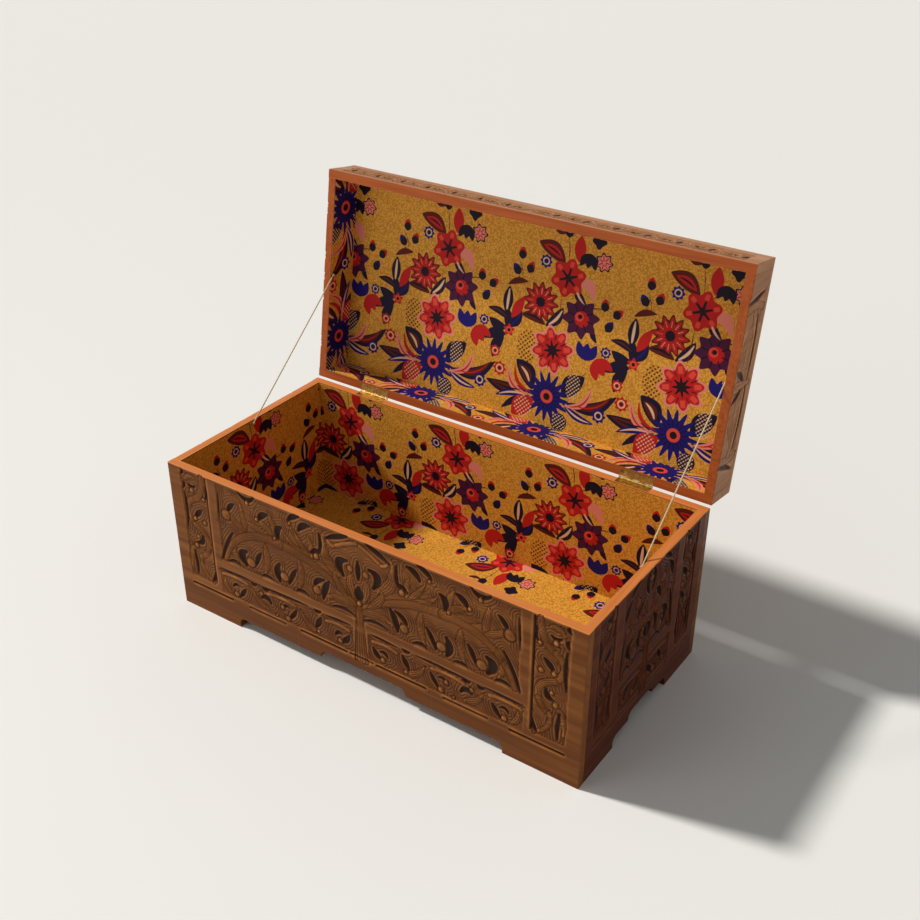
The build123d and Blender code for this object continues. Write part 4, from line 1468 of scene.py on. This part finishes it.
    def stalk(self, start: tuple, end: tuple, bend: float) -> None:
        """Print a thin stalk."""
        self.leaf(start, end, 2.6, Ink.BARK, None, bend)

    def garden(self) -> dict[Ink, np.ndarray]:
        """Lay out one repeat: an indigo daisy among dark leaves at the foot, a large scarlet
        flower, two smaller ones, and buds and sprigs that thin out towards the top.  Each ink
        keeps the largest of its distances, so its shapes may be laid in any order.

        Returns:
            The distance of each ink.
        """
        for row in (
            ((20, 392), (-90, 394), 28, Ink.FERN, None, -0.08),
            ((14, 392), (-78, 394), 17, Ink.BARK, Ink.SHADOW, -0.08),
            ((26, 404), (-62, 424), 17, Ink.INDIGO, Ink.CREAM, 0.08),
            ((30, 410), (-44, 450), 17, Ink.FERN, None, 0.1),
            ((30, 388), (-18, 330), 40, Ink.FERN, None, 0.12),
            ((22, 380), (-10, 340), 24, Ink.BARK, Ink.CREAM, 0.12),
            ((106, 398), (186, 424), 17, Ink.INDIGO, Ink.CREAM, 0.1),
            ((112, 396), (230, 350), 28, Ink.FERN, None, 0.16),
            ((120, 395), (220, 352), 15, Ink.BARK, Ink.SCARLET, 0.16),
            ((102, 386), (150, 328), 42, Ink.FERN, None, -0.08),
            ((-38, 344), (24, 404), 15, Ink.BLUSH, Ink.SCARLET, 0.24),
            ((-20, 340), (30, 396), 9, Ink.SCARLET, None, 0.24),
            ((106, 404), (172, 344), 15, Ink.BLUSH, Ink.SCARLET, 0.22),
            ((34, 408), (-16, 456), 44, Ink.SCARLET, None, 0.06),
            ((-56, 286), (-80, 342), 26, Ink.FERN, None, 0.1),
            ((-50, 282), (-110, 304), 24, Ink.FERN, None, 0.1),
            ((-50, 270), (-98, 256), 23, Ink.FERN, None, -0.1),
            ((-50, 266), (-18, 222), 23, Ink.FERN, Ink.INDIGO, 0.1),
            ((-46, 276), (-56, 222), 22, Ink.FERN, None, 0.04),
            ((-46, 252), (-104, 234), 16, Ink.FERN, Ink.BARK, 0.12),
            ((-42, 244), (-16, 192), 23, Ink.SCARLET, Ink.BARK, 0.0),
            ((-56, 238), (-54, 176), 25, Ink.FERN, Ink.CREAM, 0.0),
            ((42, 240), (-20, 230), 23, Ink.BARK, Ink.SHADOW, 0.12),
            ((42, 242), (80, 194), 24, Ink.FERN, Ink.CREAM, 0.1),
            ((150, 216), (166, 250), 13, Ink.FERN, None, 0.1),
            ((100, 140), (132, 180), 19, Ink.FERN, Ink.CREAM, 0.1),
            ((96, 136), (150, 166), 26, Ink.BLUSH, None, -0.3),
            ((100, 134), (144, 156), 13, Ink.BARK, None, -0.3),
            ((-60, 174), (-10, 158), 14, Ink.BARK, None, -0.1),
            ((72, 102), (4, 68), 34, Ink.BARK, None, 0.1),
            ((64, 94), (16, 73), 17, Ink.SCARLET, Ink.SHADOW, 0.08),
            ((102, 94), (100, 38), 27, Ink.SCARLET, Ink.BARK, 0.0),
            ((36, 34), (66, 40), 10, Ink.BARK, None, 0.1),
        ):
            self.leaf(*row)
        for row in (
            ((66, 262), (72, 158), 0.02), ((120, 196), (190, 178), -0.12), ((78, 110), (70, 36), 0.04),
            ((90, 334), (160, 306), 0.22), ((-24, 160), (-44, 112), 0.1), ((96, 104), (112, 76), 0.1),
            ((-40, 142), (-16, 166), 0.1),
        ):
            self.stalk(*row)
        for row in (
            (4, 296, 24, 36, Ink.BARK), (126, 356, 18, 30, Ink.CREAM, 9.0),
            (102, 442, 18, 18, Ink.CREAM, 9.0), (10, 432, 22, 26, Ink.CREAM, 10.0),
        ):
            self.stipple(*row)
        for row in (
            (66, 394, 57, 16, Ink.INDIGO, 0.42, 1.7), (66, 290, 55, 8, Ink.BLUSH, 0.26, 2.2, 14),
            (66, 290, 49, 8, Ink.SCARLET, 0.28, 2.0, 14), (66, 290, 25, 8, Ink.SHADOW, 0.62, 0.8, 14),
            (24, 194, 44, 12, Ink.BARK, 0.28, 1.8), (24, 194, 39, 12, Ink.SCARLET, 0.4, 2.2),
            (24, 194, 15, 12, Ink.SHADOW, 0.4, 1.0), (122, 206, 45, 8, Ink.PLUM, 0.28, 1.5, 10),
            (82, 130, 42, 6, Ink.SCARLET, 0.24, 2.0, 20), (-45, 272, 15, 5, Ink.SCARLET, 0.4, 1.2, 20),
            (158, 82, 21, 7, Ink.FERN, 0.3, 2), (158, 82, 17, 7, Ink.BLUSH, 0.3, 2),
            (142, 42, 17, 4, Ink.SHADOW, 0.3, 1.5),
        ):
            self.flower(*row)
        for row in (
            (66, 394, 57, 16, Ink.SHADOW, (0.3, 0.56), 1.4, 180 / 16),
            (66, 290, 55, 8, Ink.CORAL, (0.5, 0.78), 5.0, 14),
            (66, 290, 55, 8, Ink.SHADOW, (0.4, 0.72), 1.2, 14 + 22.5),
            (24, 194, 40, 12, Ink.CREAM, (0.42, 0.76), 0.8),
            (122, 206, 45, 8, Ink.SHADOW, (0.34, 0.7), 1.6, 32.5),
            (82, 130, 42, 6, Ink.SHADOW, (0.1, 0.5), 2.4, 20),
            (82, 130, 42, 6, Ink.CORAL, (0.56, 0.84), 4.4, 20),
            (82, 130, 42, 6, Ink.BARK, (0.3, 0.74), 1.4, 50),
            (158, 82, 17, 7, Ink.SCARLET, (0.2, 0.9), 1.2),
        ):
            self.ribs(*row)
        for row in (
            (102, 442, 20, Ink.FERN), (66, 394, 15, Ink.CORAL), (66, 394, 8, Ink.EYE),
            (66, 290, 8, Ink.EYE), (125, 208, 17, Ink.SCARLET), (119, 204, 10, Ink.CORAL, 5.0),
            (121, 203, 5, Ink.EYE), (82, 130, 5, Ink.EYE), (-45, 272, 8, Ink.CORAL),
            (-45, 272, 4, Ink.EYE),
        ):
            self.disc(*row)
        for row in (
            ((168, 284), 48, 46, Ink.SCARLET), ((146, 292), -90, 44, Ink.INDIGO),
            ((126, 70), 96, 36, Ink.SHADOW),
        ):
            self.tulip(*row)
        for p, q, radius, ink in (
            (194, 402, 17, Ink.INDIGO), (190, 264, 13, Ink.INDIGO), (26, 106, 15, Ink.INDIGO),
            (-58, 362, 17, Ink.SCARLET), (-74, 326, 14, Ink.SCARLET),
        ):
            self.flower(p, q, radius, 8, ink, 0.25, 2)
            self.disc(p, q, radius * 0.55, Ink.CREAM, radius * 0.36)
            self.disc(p, q, radius * 0.2, Ink.EYE)
        for p, q, turn, ink in (
            (174, 166, -90, Ink.SCARLET), (206, 178, -40, Ink.SCARLET), (190, 208, -60, Ink.INDIGO),
            (-32, 100, -90, Ink.SCARLET), (-8, 126, -70, Ink.SCARLET), (-42, 136, -130, Ink.INDIGO),
            (72, 34, -90, Ink.BARK),
        ):
            self.bud(p, q, 13, turn, ink)
        return self.layers


# ---------------------------------------------------------------- sub-assemblies
def carve(board: CarvedBoard, draw: Callable[[Relief], None], finish: bpy.types.Material) -> None:
    """Carve a board alike on both sides of its middle, and build it.

    Args:
        board: The board.
        draw: Lays the ornament out on the relief that it is given.
        finish: Material of the board.
    """
    relief = Relief(board.across, board.up)
    draw(relief)
    board.build(relief, finish)


def twine_piece(
    name: str,
    body: str,
    middle: np.ndarray,
    axes: tuple,
    radius: np.ndarray,
    ply: np.ndarray,
    twine: bpy.types.Material,
    turned: bool = False,
) -> bpy.types.Object:
    """Build a closed run of twine: its rings lie at m + r (cos a first + sin a second).

    Args:
        name: Name of the piece.
        body: Body that it moves with, or an empty text for none yet.
        middle: Middle of each ring in metres.
        axes: First and second direction, for all rings or for each.
        radius: Radius of each point, ring by ring.
        ply: 1 on the crown of a ply and 0 between two, for each point.
        twine: The finish.
        turned: Whether the axes turn the other way round, so that the faces must too.

    Returns:
        The piece.
    """
    angle = np.linspace(0, 2 * pi, radius.shape[1], endpoint=False)[None, :, None]
    first, second = (np.atleast_2d(axis)[:, None, :] for axis in axes)
    points = middle[:, None, :] + radius[..., None] * (np.cos(angle) * first + np.sin(angle) * second)
    grid = np.arange(radius.size).reshape(radius.shape)
    after = np.roll(grid, -1, axis=1)
    faces = np.stack([grid[:-1], after[:-1], after[1:], grid[1:]], axis=2).reshape(-1, 4).tolist()
    faces += [grid[0, ::-1].tolist(), grid[-1].tolist()]
    if turned:
        faces = [face[::-1] for face in faces]
    piece = new_piece(name, points.reshape(-1, 3), faces, body, twine)
    keep(piece, "ply", ply)
    return piece


@dataclass
class Lining:
    """One pasted panel of printed cotton.

    Attributes:
        node: Solid that the panel stands for.
        face: Where its printed side lies.
        half: Half of its width in millimetres.
        low: Lowest place up the face.
        high: Highest place.
        body: Body that it moves with.
        shift: Place along the print of the panel's middle, and place up it of its foot.
        way: 1 where the print stands up the panel, -1 where it hangs down.
        pitch: Distance between grid lines.
    """

    node: str
    face: Face
    half: float
    low: float
    high: float
    body: str
    shift: tuple[float, float]
    way: int = 1
    pitch: float = 2.3

    def build(self, cotton: bpy.types.Material) -> bpy.types.Object:
        """Build the panel, with slow ripples of 0.1 mm where the paste took unevenly.

        Args:
            cotton: The finish.

        Returns:
            The piece.
        """
        across = ruled(-self.half, self.half, self.pitch)
        up = ruled(self.low, self.high, self.pitch)
        u, v = np.meshgrid(across, up)
        along = u + self.shift[0]
        rise = self.shift[1] + self.way * (v - self.low)
        layers = CottonPrint(along, rise).garden()
        ripple = 0.07 * np.sin(u / 31 + v / 53) * np.sin(v / 27) - 0.08
        fields = {ink.value[0]: values for ink, values in layers.items()}
        fields["weave"] = np.stack([along, rise, np.zeros_like(along)], axis=2)
        slab = Slab(f"cotton_{self.node}", self.face, across, up, CLOTH)
        piece = slab.build(ripple, self.body, cotton, "floral_lining", fields)
        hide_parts(self.node)
        board = self.node.replace("_lining", "_board")
        board = board.replace("left_", "left_end_").replace("right_", "right_end_")
        return piece


@dataclass
class Stay:
    """A twine stay between its two anchor screws.

    Attributes:
        name: The end of the chest that it is at.
        foot: Where it leaves the loop on the box's screw, in metres.
        head: Where it enters the loop on the lid's screw.
        diameter: Diameter in metres.
        plies: Number of plies.
        lay_mm: Length of one turn of a ply.
    """

    name: str
    foot: Vector
    head: Vector
    diameter: float = 0.003
    plies: int = 3
    lay_mm: float = 9.0

    def route(self) -> np.ndarray:
        """Read points from the stay's NURBS line, which is taut and so has few points.

        Returns:
            Points along the line in metres.
        """
        points = [self.foot, self.foot.lerp(self.head, 0.5), self.head]
        curve = bpy.data.curves.new("route", "CURVE")
        curve.dimensions = "3D"
        curve.resolution_u = 40
        spline = curve.splines.new("NURBS")
        spline.points.add(len(points) - 1)
        for point, place in zip(spline.points, points):
            point.co = (*place, 1.0)
        spline.order_u = 3
        spline.use_endpoint_u = True
        holder = link(curve)
        bpy.context.view_layer.update()
        evaluated = holder.evaluated_get(bpy.context.evaluated_depsgraph_get())
        mesh = bpy.data.meshes.new_from_object(evaluated)
        line = np.empty(len(mesh.vertices) * 3)
        mesh.vertices.foreach_get("co", line)
        bpy.data.objects.remove(holder)
        bpy.data.curves.remove(curve)
        bpy.data.meshes.remove(mesh)
        return line.reshape(-1, 3)

    def build(self, twine: bpy.types.Material) -> bpy.types.Object:
        """Build the twisted twine: its radius is r (0.8 + 0.2 |cos(n (a - 2 pi s / lay) / 2)|).

        Args:
            twine: The finish.

        Returns:
            The piece.
        """
        line = self.route()
        axis = (self.head - self.foot).normalized()
        length = (self.head - self.foot).length
        rings, sides = 260, 18
        share = np.linspace(0, 1, rings)
        steps = np.concatenate([[0], np.cumsum(np.linalg.norm(np.diff(line, axis=0), axis=1))])
        middle = np.stack([np.interp(share, steps / steps[-1], places) for places in line.T], axis=1)
        first = np.array([1.0, 0.0, 0.0])
        axes = (first, np.cross(np.array(axis), first))
        angle = np.linspace(0, 2 * pi, sides, endpoint=False)[None, :]
        turn = 2 * pi * share[:, None] * length / (self.lay_mm * MM)
        ply = np.abs(np.cos(self.plies * (angle - turn / self.plies) / 2))
        radius = self.diameter / 2 * (0.8 + 0.2 * ply)
        piece = twine_piece(f"{self.name}_stay_twine", "", middle, axes, radius, ply, twine)
        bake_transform(piece)
        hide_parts(f"{self.name}_stay_cord")
        return piece


@dataclass
class StayLoop:
    """The two turns of twine with which a stay is held on its screw.

    Attributes:
        name: Name of the piece.
        body: Body that it moves with.
        middle: Middle of the screw's shank, in metres.
        toward: Direction in which the stay leaves.
        shank: Radius of the shank in millimetres.
        twine_mm: Thickness of the twine, drawn tight.
    """

    name: str
    body: str
    middle: Vector
    toward: Vector
    shank: float = 1.5
    twine_mm: float = 2.0

    def build(self, twine: bpy.types.Material) -> bpy.types.Object:
        """Build the loop: a helix of two turns round the shank, drawn out towards the stay.

        Args:
            twine: The finish.

        Returns:
            The piece.
        """
        rings, sides, turns = 64, 12, 2
        t = np.linspace(0, 1, rings)[:, None]
        around = 2 * pi * turns * t
        inner = (self.shank + self.twine_mm / 2) * MM
        side = np.array([1.0, 0.0, 0.0])
        way = np.array(self.toward.normalized())
        third = np.cross(side, way)
        radial = np.cos(around) * way + np.sin(around) * third
        pull = 1 + 0.25 * np.clip(np.cos(around), 0, 1) ** 3
        climb = side * (t - 0.5) * self.twine_mm * turns * 0.48 * MM
        middle = np.array(self.middle) + inner * pull * radial + climb
        angle = np.linspace(0, 2 * pi, sides, endpoint=False)
        ply = np.abs(np.cos(1.5 * (angle[None, :] - 9 * around)))
        radius = self.twine_mm / 2 * MM * (0.85 + 0.15 * ply)
        axes = (radial, side)
        return twine_piece(self.name, self.body, middle, axes, radius, ply, twine, turned=True)


@dataclass
class ScrewHead:
    """A countersunk or round screw head with a slot.

    Attributes:
        name: Name of the piece.
        body: Body that it moves with.
        face: Face that the heads sit in.
        places: Middles of the heads on the face in millimetres.
        radius: Radius of a head.
        dome: Rise of its middle; 0 for a flat head.
        slot_width: Width of the slot.
        slot_depth: Depth of the slot.
    """

    name: str
    body: str
    face: Face
    places: list[tuple[float, float]]
    radius: float
    dome: float = 0.0
    slot_width: float = 0.9
    slot_depth: float = 0.6

    def build(self, metal: bpy.types.Material) -> bpy.types.Object:
        """Build the heads: discs in polar grids that fall into a slot and round at the edge.

        Args:
            metal: The finish.

        Returns:
            The piece.
        """
        rings = np.array([0.0, 0.25, 0.42, 0.6, 0.76, 0.88, 0.96, 1.0]) * self.radius
        angle = np.linspace(0, 2 * pi, 48, endpoint=False)
        x = rings[1:, None] * np.cos(angle)
        y = rings[1:, None] * np.sin(angle)
        away = rings[1:, None] / self.radius
        rise = PROUD + self.dome * (1 - away**2) - arris((1 - away) * self.radius + 0 * x, 0.3)
        count = x.size + 1
        grid = 1 + np.arange(x.size).reshape(x.shape)
        after = np.roll(grid, -1, axis=1)
        quads = np.stack([grid[:-1], grid[1:], after[1:], after[:-1]], axis=2).reshape(-1, 4)
        fans = np.stack([np.zeros(len(angle), int), grid[0], after[0]], axis=1)
        points, faces = [], []
        for index, (u, v) in enumerate(self.places):
            turn = 0.5 + 1.1 * index
            across = np.abs(x * sin(turn) - y * cos(turn))
            cut = self.slot_depth * np.clip((self.slot_width / 2 + 0.15 - across) / 0.3, 0, 1)
            heads = np.concatenate([[-self.slot_depth + PROUD + self.dome], (rise - cut).ravel()])
            points.append(self.face.place(np.append(0, x) + u, np.append(0, y) + v, heads))
            faces += (quads + index * count).tolist() + (fans + index * count).tolist()
            faces.append((grid[-1, ::-1] + index * count).tolist())
        return new_piece(self.name, np.concatenate(points), faces, self.body, metal)


class Chest:
    """The whole chest, built sub-assembly by sub-assembly."""

    def __init__(self, frame: dict) -> None:
        """Measure the case and mix the finishes.

        Args:
            frame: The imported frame.
        """
        self.frame = frame
        self.case = Case(frame["joints"][0])
        teak = CarvedTeak()
        # dark: the same teak, darker and redder, as painted shade on the box ends
        dark = CarvedTeak("#3e1506", "#582208", "#92501f", "#220a03", "#0d0402")
        # pale: the lid's teak, paler wood made lighter still as painted sunlight
        pale = CarvedTeak("#8a5630", "#b07244", "#dfab7c", "#5c3014", "#1c0a04", "#b8622e", "#98441a")
        box_rim = (Vector((0.0, 0.0, 1.0)), self.case.rim * MM)
        down = self.case.swing.to_3x3() @ Vector((0.0, 0.0, -1.0))
        lid_rim = (down, down.dot(self.case.swing @ Vector((0.0, 0.0, self.case.lid_rim * MM))))
        self.long_teak = teak.dress("long_board", Grain.ALONG_X, box_rim)
        self.end_teak = dark.dress("end_board", Grain.ALONG_Y, box_rim)
        self.lid_long_teak = pale.dress("lid_long_board", Grain.ALONG_X, lid_rim)
        self.lid_end_teak = pale.dress("lid_end_board", Grain.ALONG_Y, lid_rim)
        self.cotton = PrintedCotton().dress()
        self.raw = RawWood().dress()
        self.twine = CottonTwine().dress()
        self.brass = AgedMetal("pressed_brass", "#c9a45c", "#8f6f38", 0.34).dress()
        self.steel = AgedMetal("zinc_plated_steel", "#b9bcbe", "#7d7f80", 0.3).dress()

    def stays(self) -> None:
        """Tie the two twine stays; their ends are where their solids end."""
        for _, name in SIDES:
            low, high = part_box(f"{name}_stay_cord")
            x = (low.x + high.x) / 2
            anchors = []
            for owner in ("box", "lid"):
                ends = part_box(f"{name}_stay_{owner}_screw")
                anchors.append((ends[0] + ends[1]) / 2)
                anchors[-1].x = x
            axis = (anchors[1] - anchors[0]).normalized()
            clear = axis * (CLEAR * MM)
            Stay(name, anchors[0] + clear, anchors[1] - clear).build(self.twine)
            StayLoop(f"{name}_box_loop", "chest", anchors[0], axis).build(self.twine)
            StayLoop(f"{name}_lid_loop", "lid", anchors[1], -axis).build(self.twine)

    def box(self) -> None:
        """Build the four boards of the box."""
        c = self.case
        front = c.face(0, c.front, 0, ALONG_X, ALONG_Z)
        names = ("front_carving", "front_board")
        board = CarvedBoard(*names, front, c.half, 0, c.rim, "chest", splits=3, foot=165, crown=108)
        carve(board, lambda relief: FrontOrnament(relief).draw(c.rim), self.long_teak)
        for side, name in SIDES:
            face = c.face(side * c.half, c.middle, 0, (0, side, 0), ALONG_Z)
            half = c.depth / 2 - c.board
            names = (f"{name}_end_carving", f"{name}_end_board")
            board = CarvedBoard(*names, face, half, 0, c.rim, "chest", foot=111, crown=50)
            carve(board, lambda relief: EndOrnament(relief).draw(c.rim), self.end_teak)

    def lid(self) -> None:
        """Build the carved boards of the lid in the place to which it is swung open."""
        c = self.case
        rise = c.lid_crest - c.lid_top - c.lid_rim
        front = c.face(0, c.front, c.lid_rim, ALONG_X, ALONG_Z).swung(c.swing)
        names = ("lid_front_carving", "lid_front_board")
        board = CarvedBoard(*names, front, c.half, 0, rise, "lid", LID_CUT)
        run = (c.half - 30, 10, rise - 10)
        carve(board, lambda relief: LidOrnament(relief).running(*run), self.lid_long_teak)
        for side, name in SIDES:
            face = c.face(side * c.half, c.middle, c.lid_rim, (0, side, 0), ALONG_Z).swung(c.swing)
            half = c.depth / 2 - c.board
            names = (f"lid_{name}_end_carving", f"lid_{name}_end_board")
            board = CarvedBoard(*names, face, half, 0, rise, "lid", LID_CUT)
            carve(board, lambda relief: LidOrnament(relief).end(rise), self.lid_end_teak)
        top = c.face(0, c.middle, c.lid_crest, ALONG_X, ALONG_Y).swung(c.swing)
        names = ("lid_top_carving", "lid_top_board")
        reach = c.depth / 2
        board = CarvedBoard(*names, top, c.half, -reach, reach, "lid", LID_CUT, 2.3, thickness=c.lid_top)
        carve(board, lambda relief: LidOrnament(relief).top(c.half, reach), self.lid_long_teak)

    def linings(self) -> None:
        """Paste the ten panels of cotton."""
        c = self.case
        inner_x, inner_y = c.half - c.board, c.depth / 2 - c.board
        cloth_x, cloth_y = inner_x - c.lining, inner_y - c.lining
        low, high = c.floor_top, c.rim - c.reveal
        lid_low, lid_high = c.lid_rim + c.reveal, c.lid_crest - c.lid_top
        back_x, back_y = (-1, 0, 0), (0, -1, 0)
        walls = []
        for body, prefix, bottom, top, swing, foot, slide, way in (
            ("chest", "", low, high, Matrix.Identity(4), 342.0, 0.0, -1),
            ("lid", "lid_", lid_low, lid_high, c.swing, 355.0, 130.0, 1),
        ):
            places = (
                ("front", (0, c.middle - cloth_y, 0), back_x, inner_x, 40.0),
                ("back", (0, c.middle + cloth_y, 0), ALONG_X, inner_x, -130.0),
                ("left", (-cloth_x, c.middle, 0), ALONG_Y, cloth_y, 90.0),
                ("right", (cloth_x, c.middle, 0), back_y, cloth_y, 30.0),
            )
            for name, spot, across, half, shift in places:
                face = c.face(*spot, across, ALONG_Z).swung(swing)
                node, start = f"{prefix}{name}_lining", (shift + slide, foot)
                walls.append(Lining(node, face, half, bottom, top, body, start, way))
        floor = c.face(0, c.middle, low + c.lining, ALONG_X, ALONG_Y)
        size = (cloth_x, -cloth_y, cloth_y)
        walls.append(Lining("floor_lining", floor, *size, "chest", (20.0, -300.0), 1, 2.6))
        top = c.face(0, c.middle, lid_high - c.lining, ALONG_X, back_y).swung(c.swing)
        walls.append(Lining("lid_top_lining", top, *size, "lid", (0.0, 460.0), -1))
        for wall in walls:
            wall.build(self.cotton)

    def hardware(self) -> None:
        """Dress the hinges, pins, screws and hidden wood, and cut slots in the screw heads."""
        c = self.case
        finishes = (
            ("hinge_pin", self.steel),
            ("leaf_screws", self.brass),
            ("leaf", self.brass),
            ("screw", self.brass),
            ("dowels", self.raw),
            ("cleat", self.raw),
            ("floor_board", self.raw),
            ("lid_back_board", self.lid_long_teak),
            ("back_board", self.long_teak),
        )
        for name, node in self.frame["nodes"].items():
            for ending, finish in finishes:
                if name.endswith(ending):
                    node.data.materials.clear()
                    node.data.materials.append(finish)
                    break
        box_seat = c.face(0, c.middle, c.rim, ALONG_X, ALONG_Y)
        lid_seat = c.face(0, c.middle, c.lid_rim, ALONG_X, (0, -1, 0)).swung(c.swing)
        for side, name in SIDES:
            spots = [(side * HINGE_U + offset, HINGE_V) for offset in (-HINGE_STEP, 0, HINGE_STEP)]
            mirrored = [(u, -v) for u, v in spots]
            ScrewHead(f"{name}_box_screw_heads", "chest", box_seat, spots, 3.3).build(self.brass)
            ScrewHead(f"{name}_lid_screw_heads", "lid", lid_seat, mirrored, 3.3).build(self.brass)


@dataclass
class Studio:
    """Pale floor, soft lamps and the camera.

    Attributes:
        eye: Place of the camera in metres.
        azimuth: Turn of its view from straight back towards the left end, in degrees.
        elevation: Angle at which it looks down, in degrees.
        lens_mm: Focal length on a 36 mm sensor.
        shift: Vertical shift of the frame.
        roll: Roll in degrees.
    """

    eye: tuple[float, float, float] = (1.2278, -1.7674, 1.6307)
    azimuth: float = 34.49
    elevation: float = 30.91
    lens_mm: float = 47.45
    shift: float = 0.0141
    roll: float = 0.22

    def camera(self) -> None:
        """Set up the camera."""
        lens = bpy.data.cameras.new("camera")
        lens.lens = self.lens_mm
        lens.sensor_width = 36.0
        lens.shift_y = self.shift
        holder = link(lens)
        turn, tilt = radians(self.azimuth), radians(self.elevation)
        forward = Vector((-sin(turn) * cos(tilt), cos(turn) * cos(tilt), -sin(tilt)))
        pose = forward.to_track_quat("-Z", "Y").to_matrix().to_4x4()
        roll = Matrix.Rotation(radians(self.roll), 4, "Z")
        holder.matrix_world = Matrix.Translation(self.eye) @ pose @ roll
        bpy.context.scene.camera = holder

    def floor(self) -> None:
        """Lay a plain pale floor that looks white and still takes the chest's shadow."""
        made = Shading("studio_floor")
        made.shader.inputs["Base Color"].default_value = linear("#f2f1ee")
        made.shader.inputs["Roughness"].default_value = 0.9
        size = 14.0
        rim = [(-size, -size, 0.0), (size, -size, 0.0), (size, size, 0.0), (-size, size, 0.0)]
        mesh = bpy.data.meshes.new("studio_floor")
        mesh.from_pydata(rim, [], [(0, 1, 2, 3)])
        mesh.materials.append(made.material)
        link(mesh)

    def lamp(self, kind: str, place: tuple, power: float, size: float, tint: str = "#ffffff") -> None:
        """Hang a lamp that points at the chest.

        Args:
            kind: SUN for a far and even lamp, AREA for a near and soft one.
            place: Place in metres.
            power: Watts, or watts per square metre for a far lamp.
            size: Side in metres, or the angle that a far lamp fills, in radians.
            tint: Colour of its light.
        """
        light = bpy.data.lights.new(f"lamp_{kind.lower()}", kind)
        light.energy = power
        setattr(light, "angle" if kind == "SUN" else "size", size)
        light.color = linear(tint)[:3]
        reach = Vector((0.0, 0.0, 0.3)) - Vector(place)
        aim = reach.to_track_quat("-Z", "Y").to_matrix().to_4x4()
        link(light).matrix_world = Matrix.Translation(place) @ aim

    def light(self) -> None:
        """Light the chest: a far key from high over the left end, a soft fill and a pale
        surround."""
        self.lamp("SUN", (-7.2, -1.6, 7.1), 3.1, 0.1, "#fffdf8")
        self.lamp("AREA", (-1.8, -3.2, 1.2), 20.0, 2.2)
        world = bpy.data.worlds.new("surround")
        bpy.context.scene.world = world
        world.use_nodes = True
        tree = world.node_tree
        sky = tree.nodes["Background"]
        sky.inputs["Color"].default_value = linear("#f4f3f0")
        sky.inputs["Strength"].default_value = 0.25
        seen = add(tree, "ShaderNodeLightPath", {})
        rays = {0: seen.outputs["Is Camera Ray"], 1: seen.outputs["Is Glossy Ray"]}
        either = add(tree, "ShaderNodeMath", {"operation": "MAXIMUM"}, rays)
        plain = add(tree, "ShaderNodeBackground", {"Color": linear("#f4f3f0"), "Strength": 1.0})
        parts = {0: either.outputs[0], 1: sky.outputs[0], 2: plain.outputs[0]}
        mix = add(tree, "ShaderNodeMixShader", {}, parts)
        tree.links.new(mix.outputs[0], tree.nodes["World Output"].inputs[0])
        bpy.context.scene.view_settings.view_transform = "Standard"


def corners(bounds: tuple[Vector, Vector]) -> list[list[float]]:
    """Return a box as two plain lists of numbers."""
    return [[float(value) for value in corner] for corner in bounds]


def main() -> None:
    """Build the chest in order."""
    logging.basicConfig(level=logging.INFO, format="%(message)s")
    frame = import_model()
    studio = Studio()
    studio.camera()
    chest = Chest(frame)
    for step in (chest.stays, chest.box, chest.lid, chest.linings, chest.hardware):
        step()
        LOG.info("%s done", step.__name__)
    studio.floor()
    studio.light()


if __name__ == "__main__":
    main()
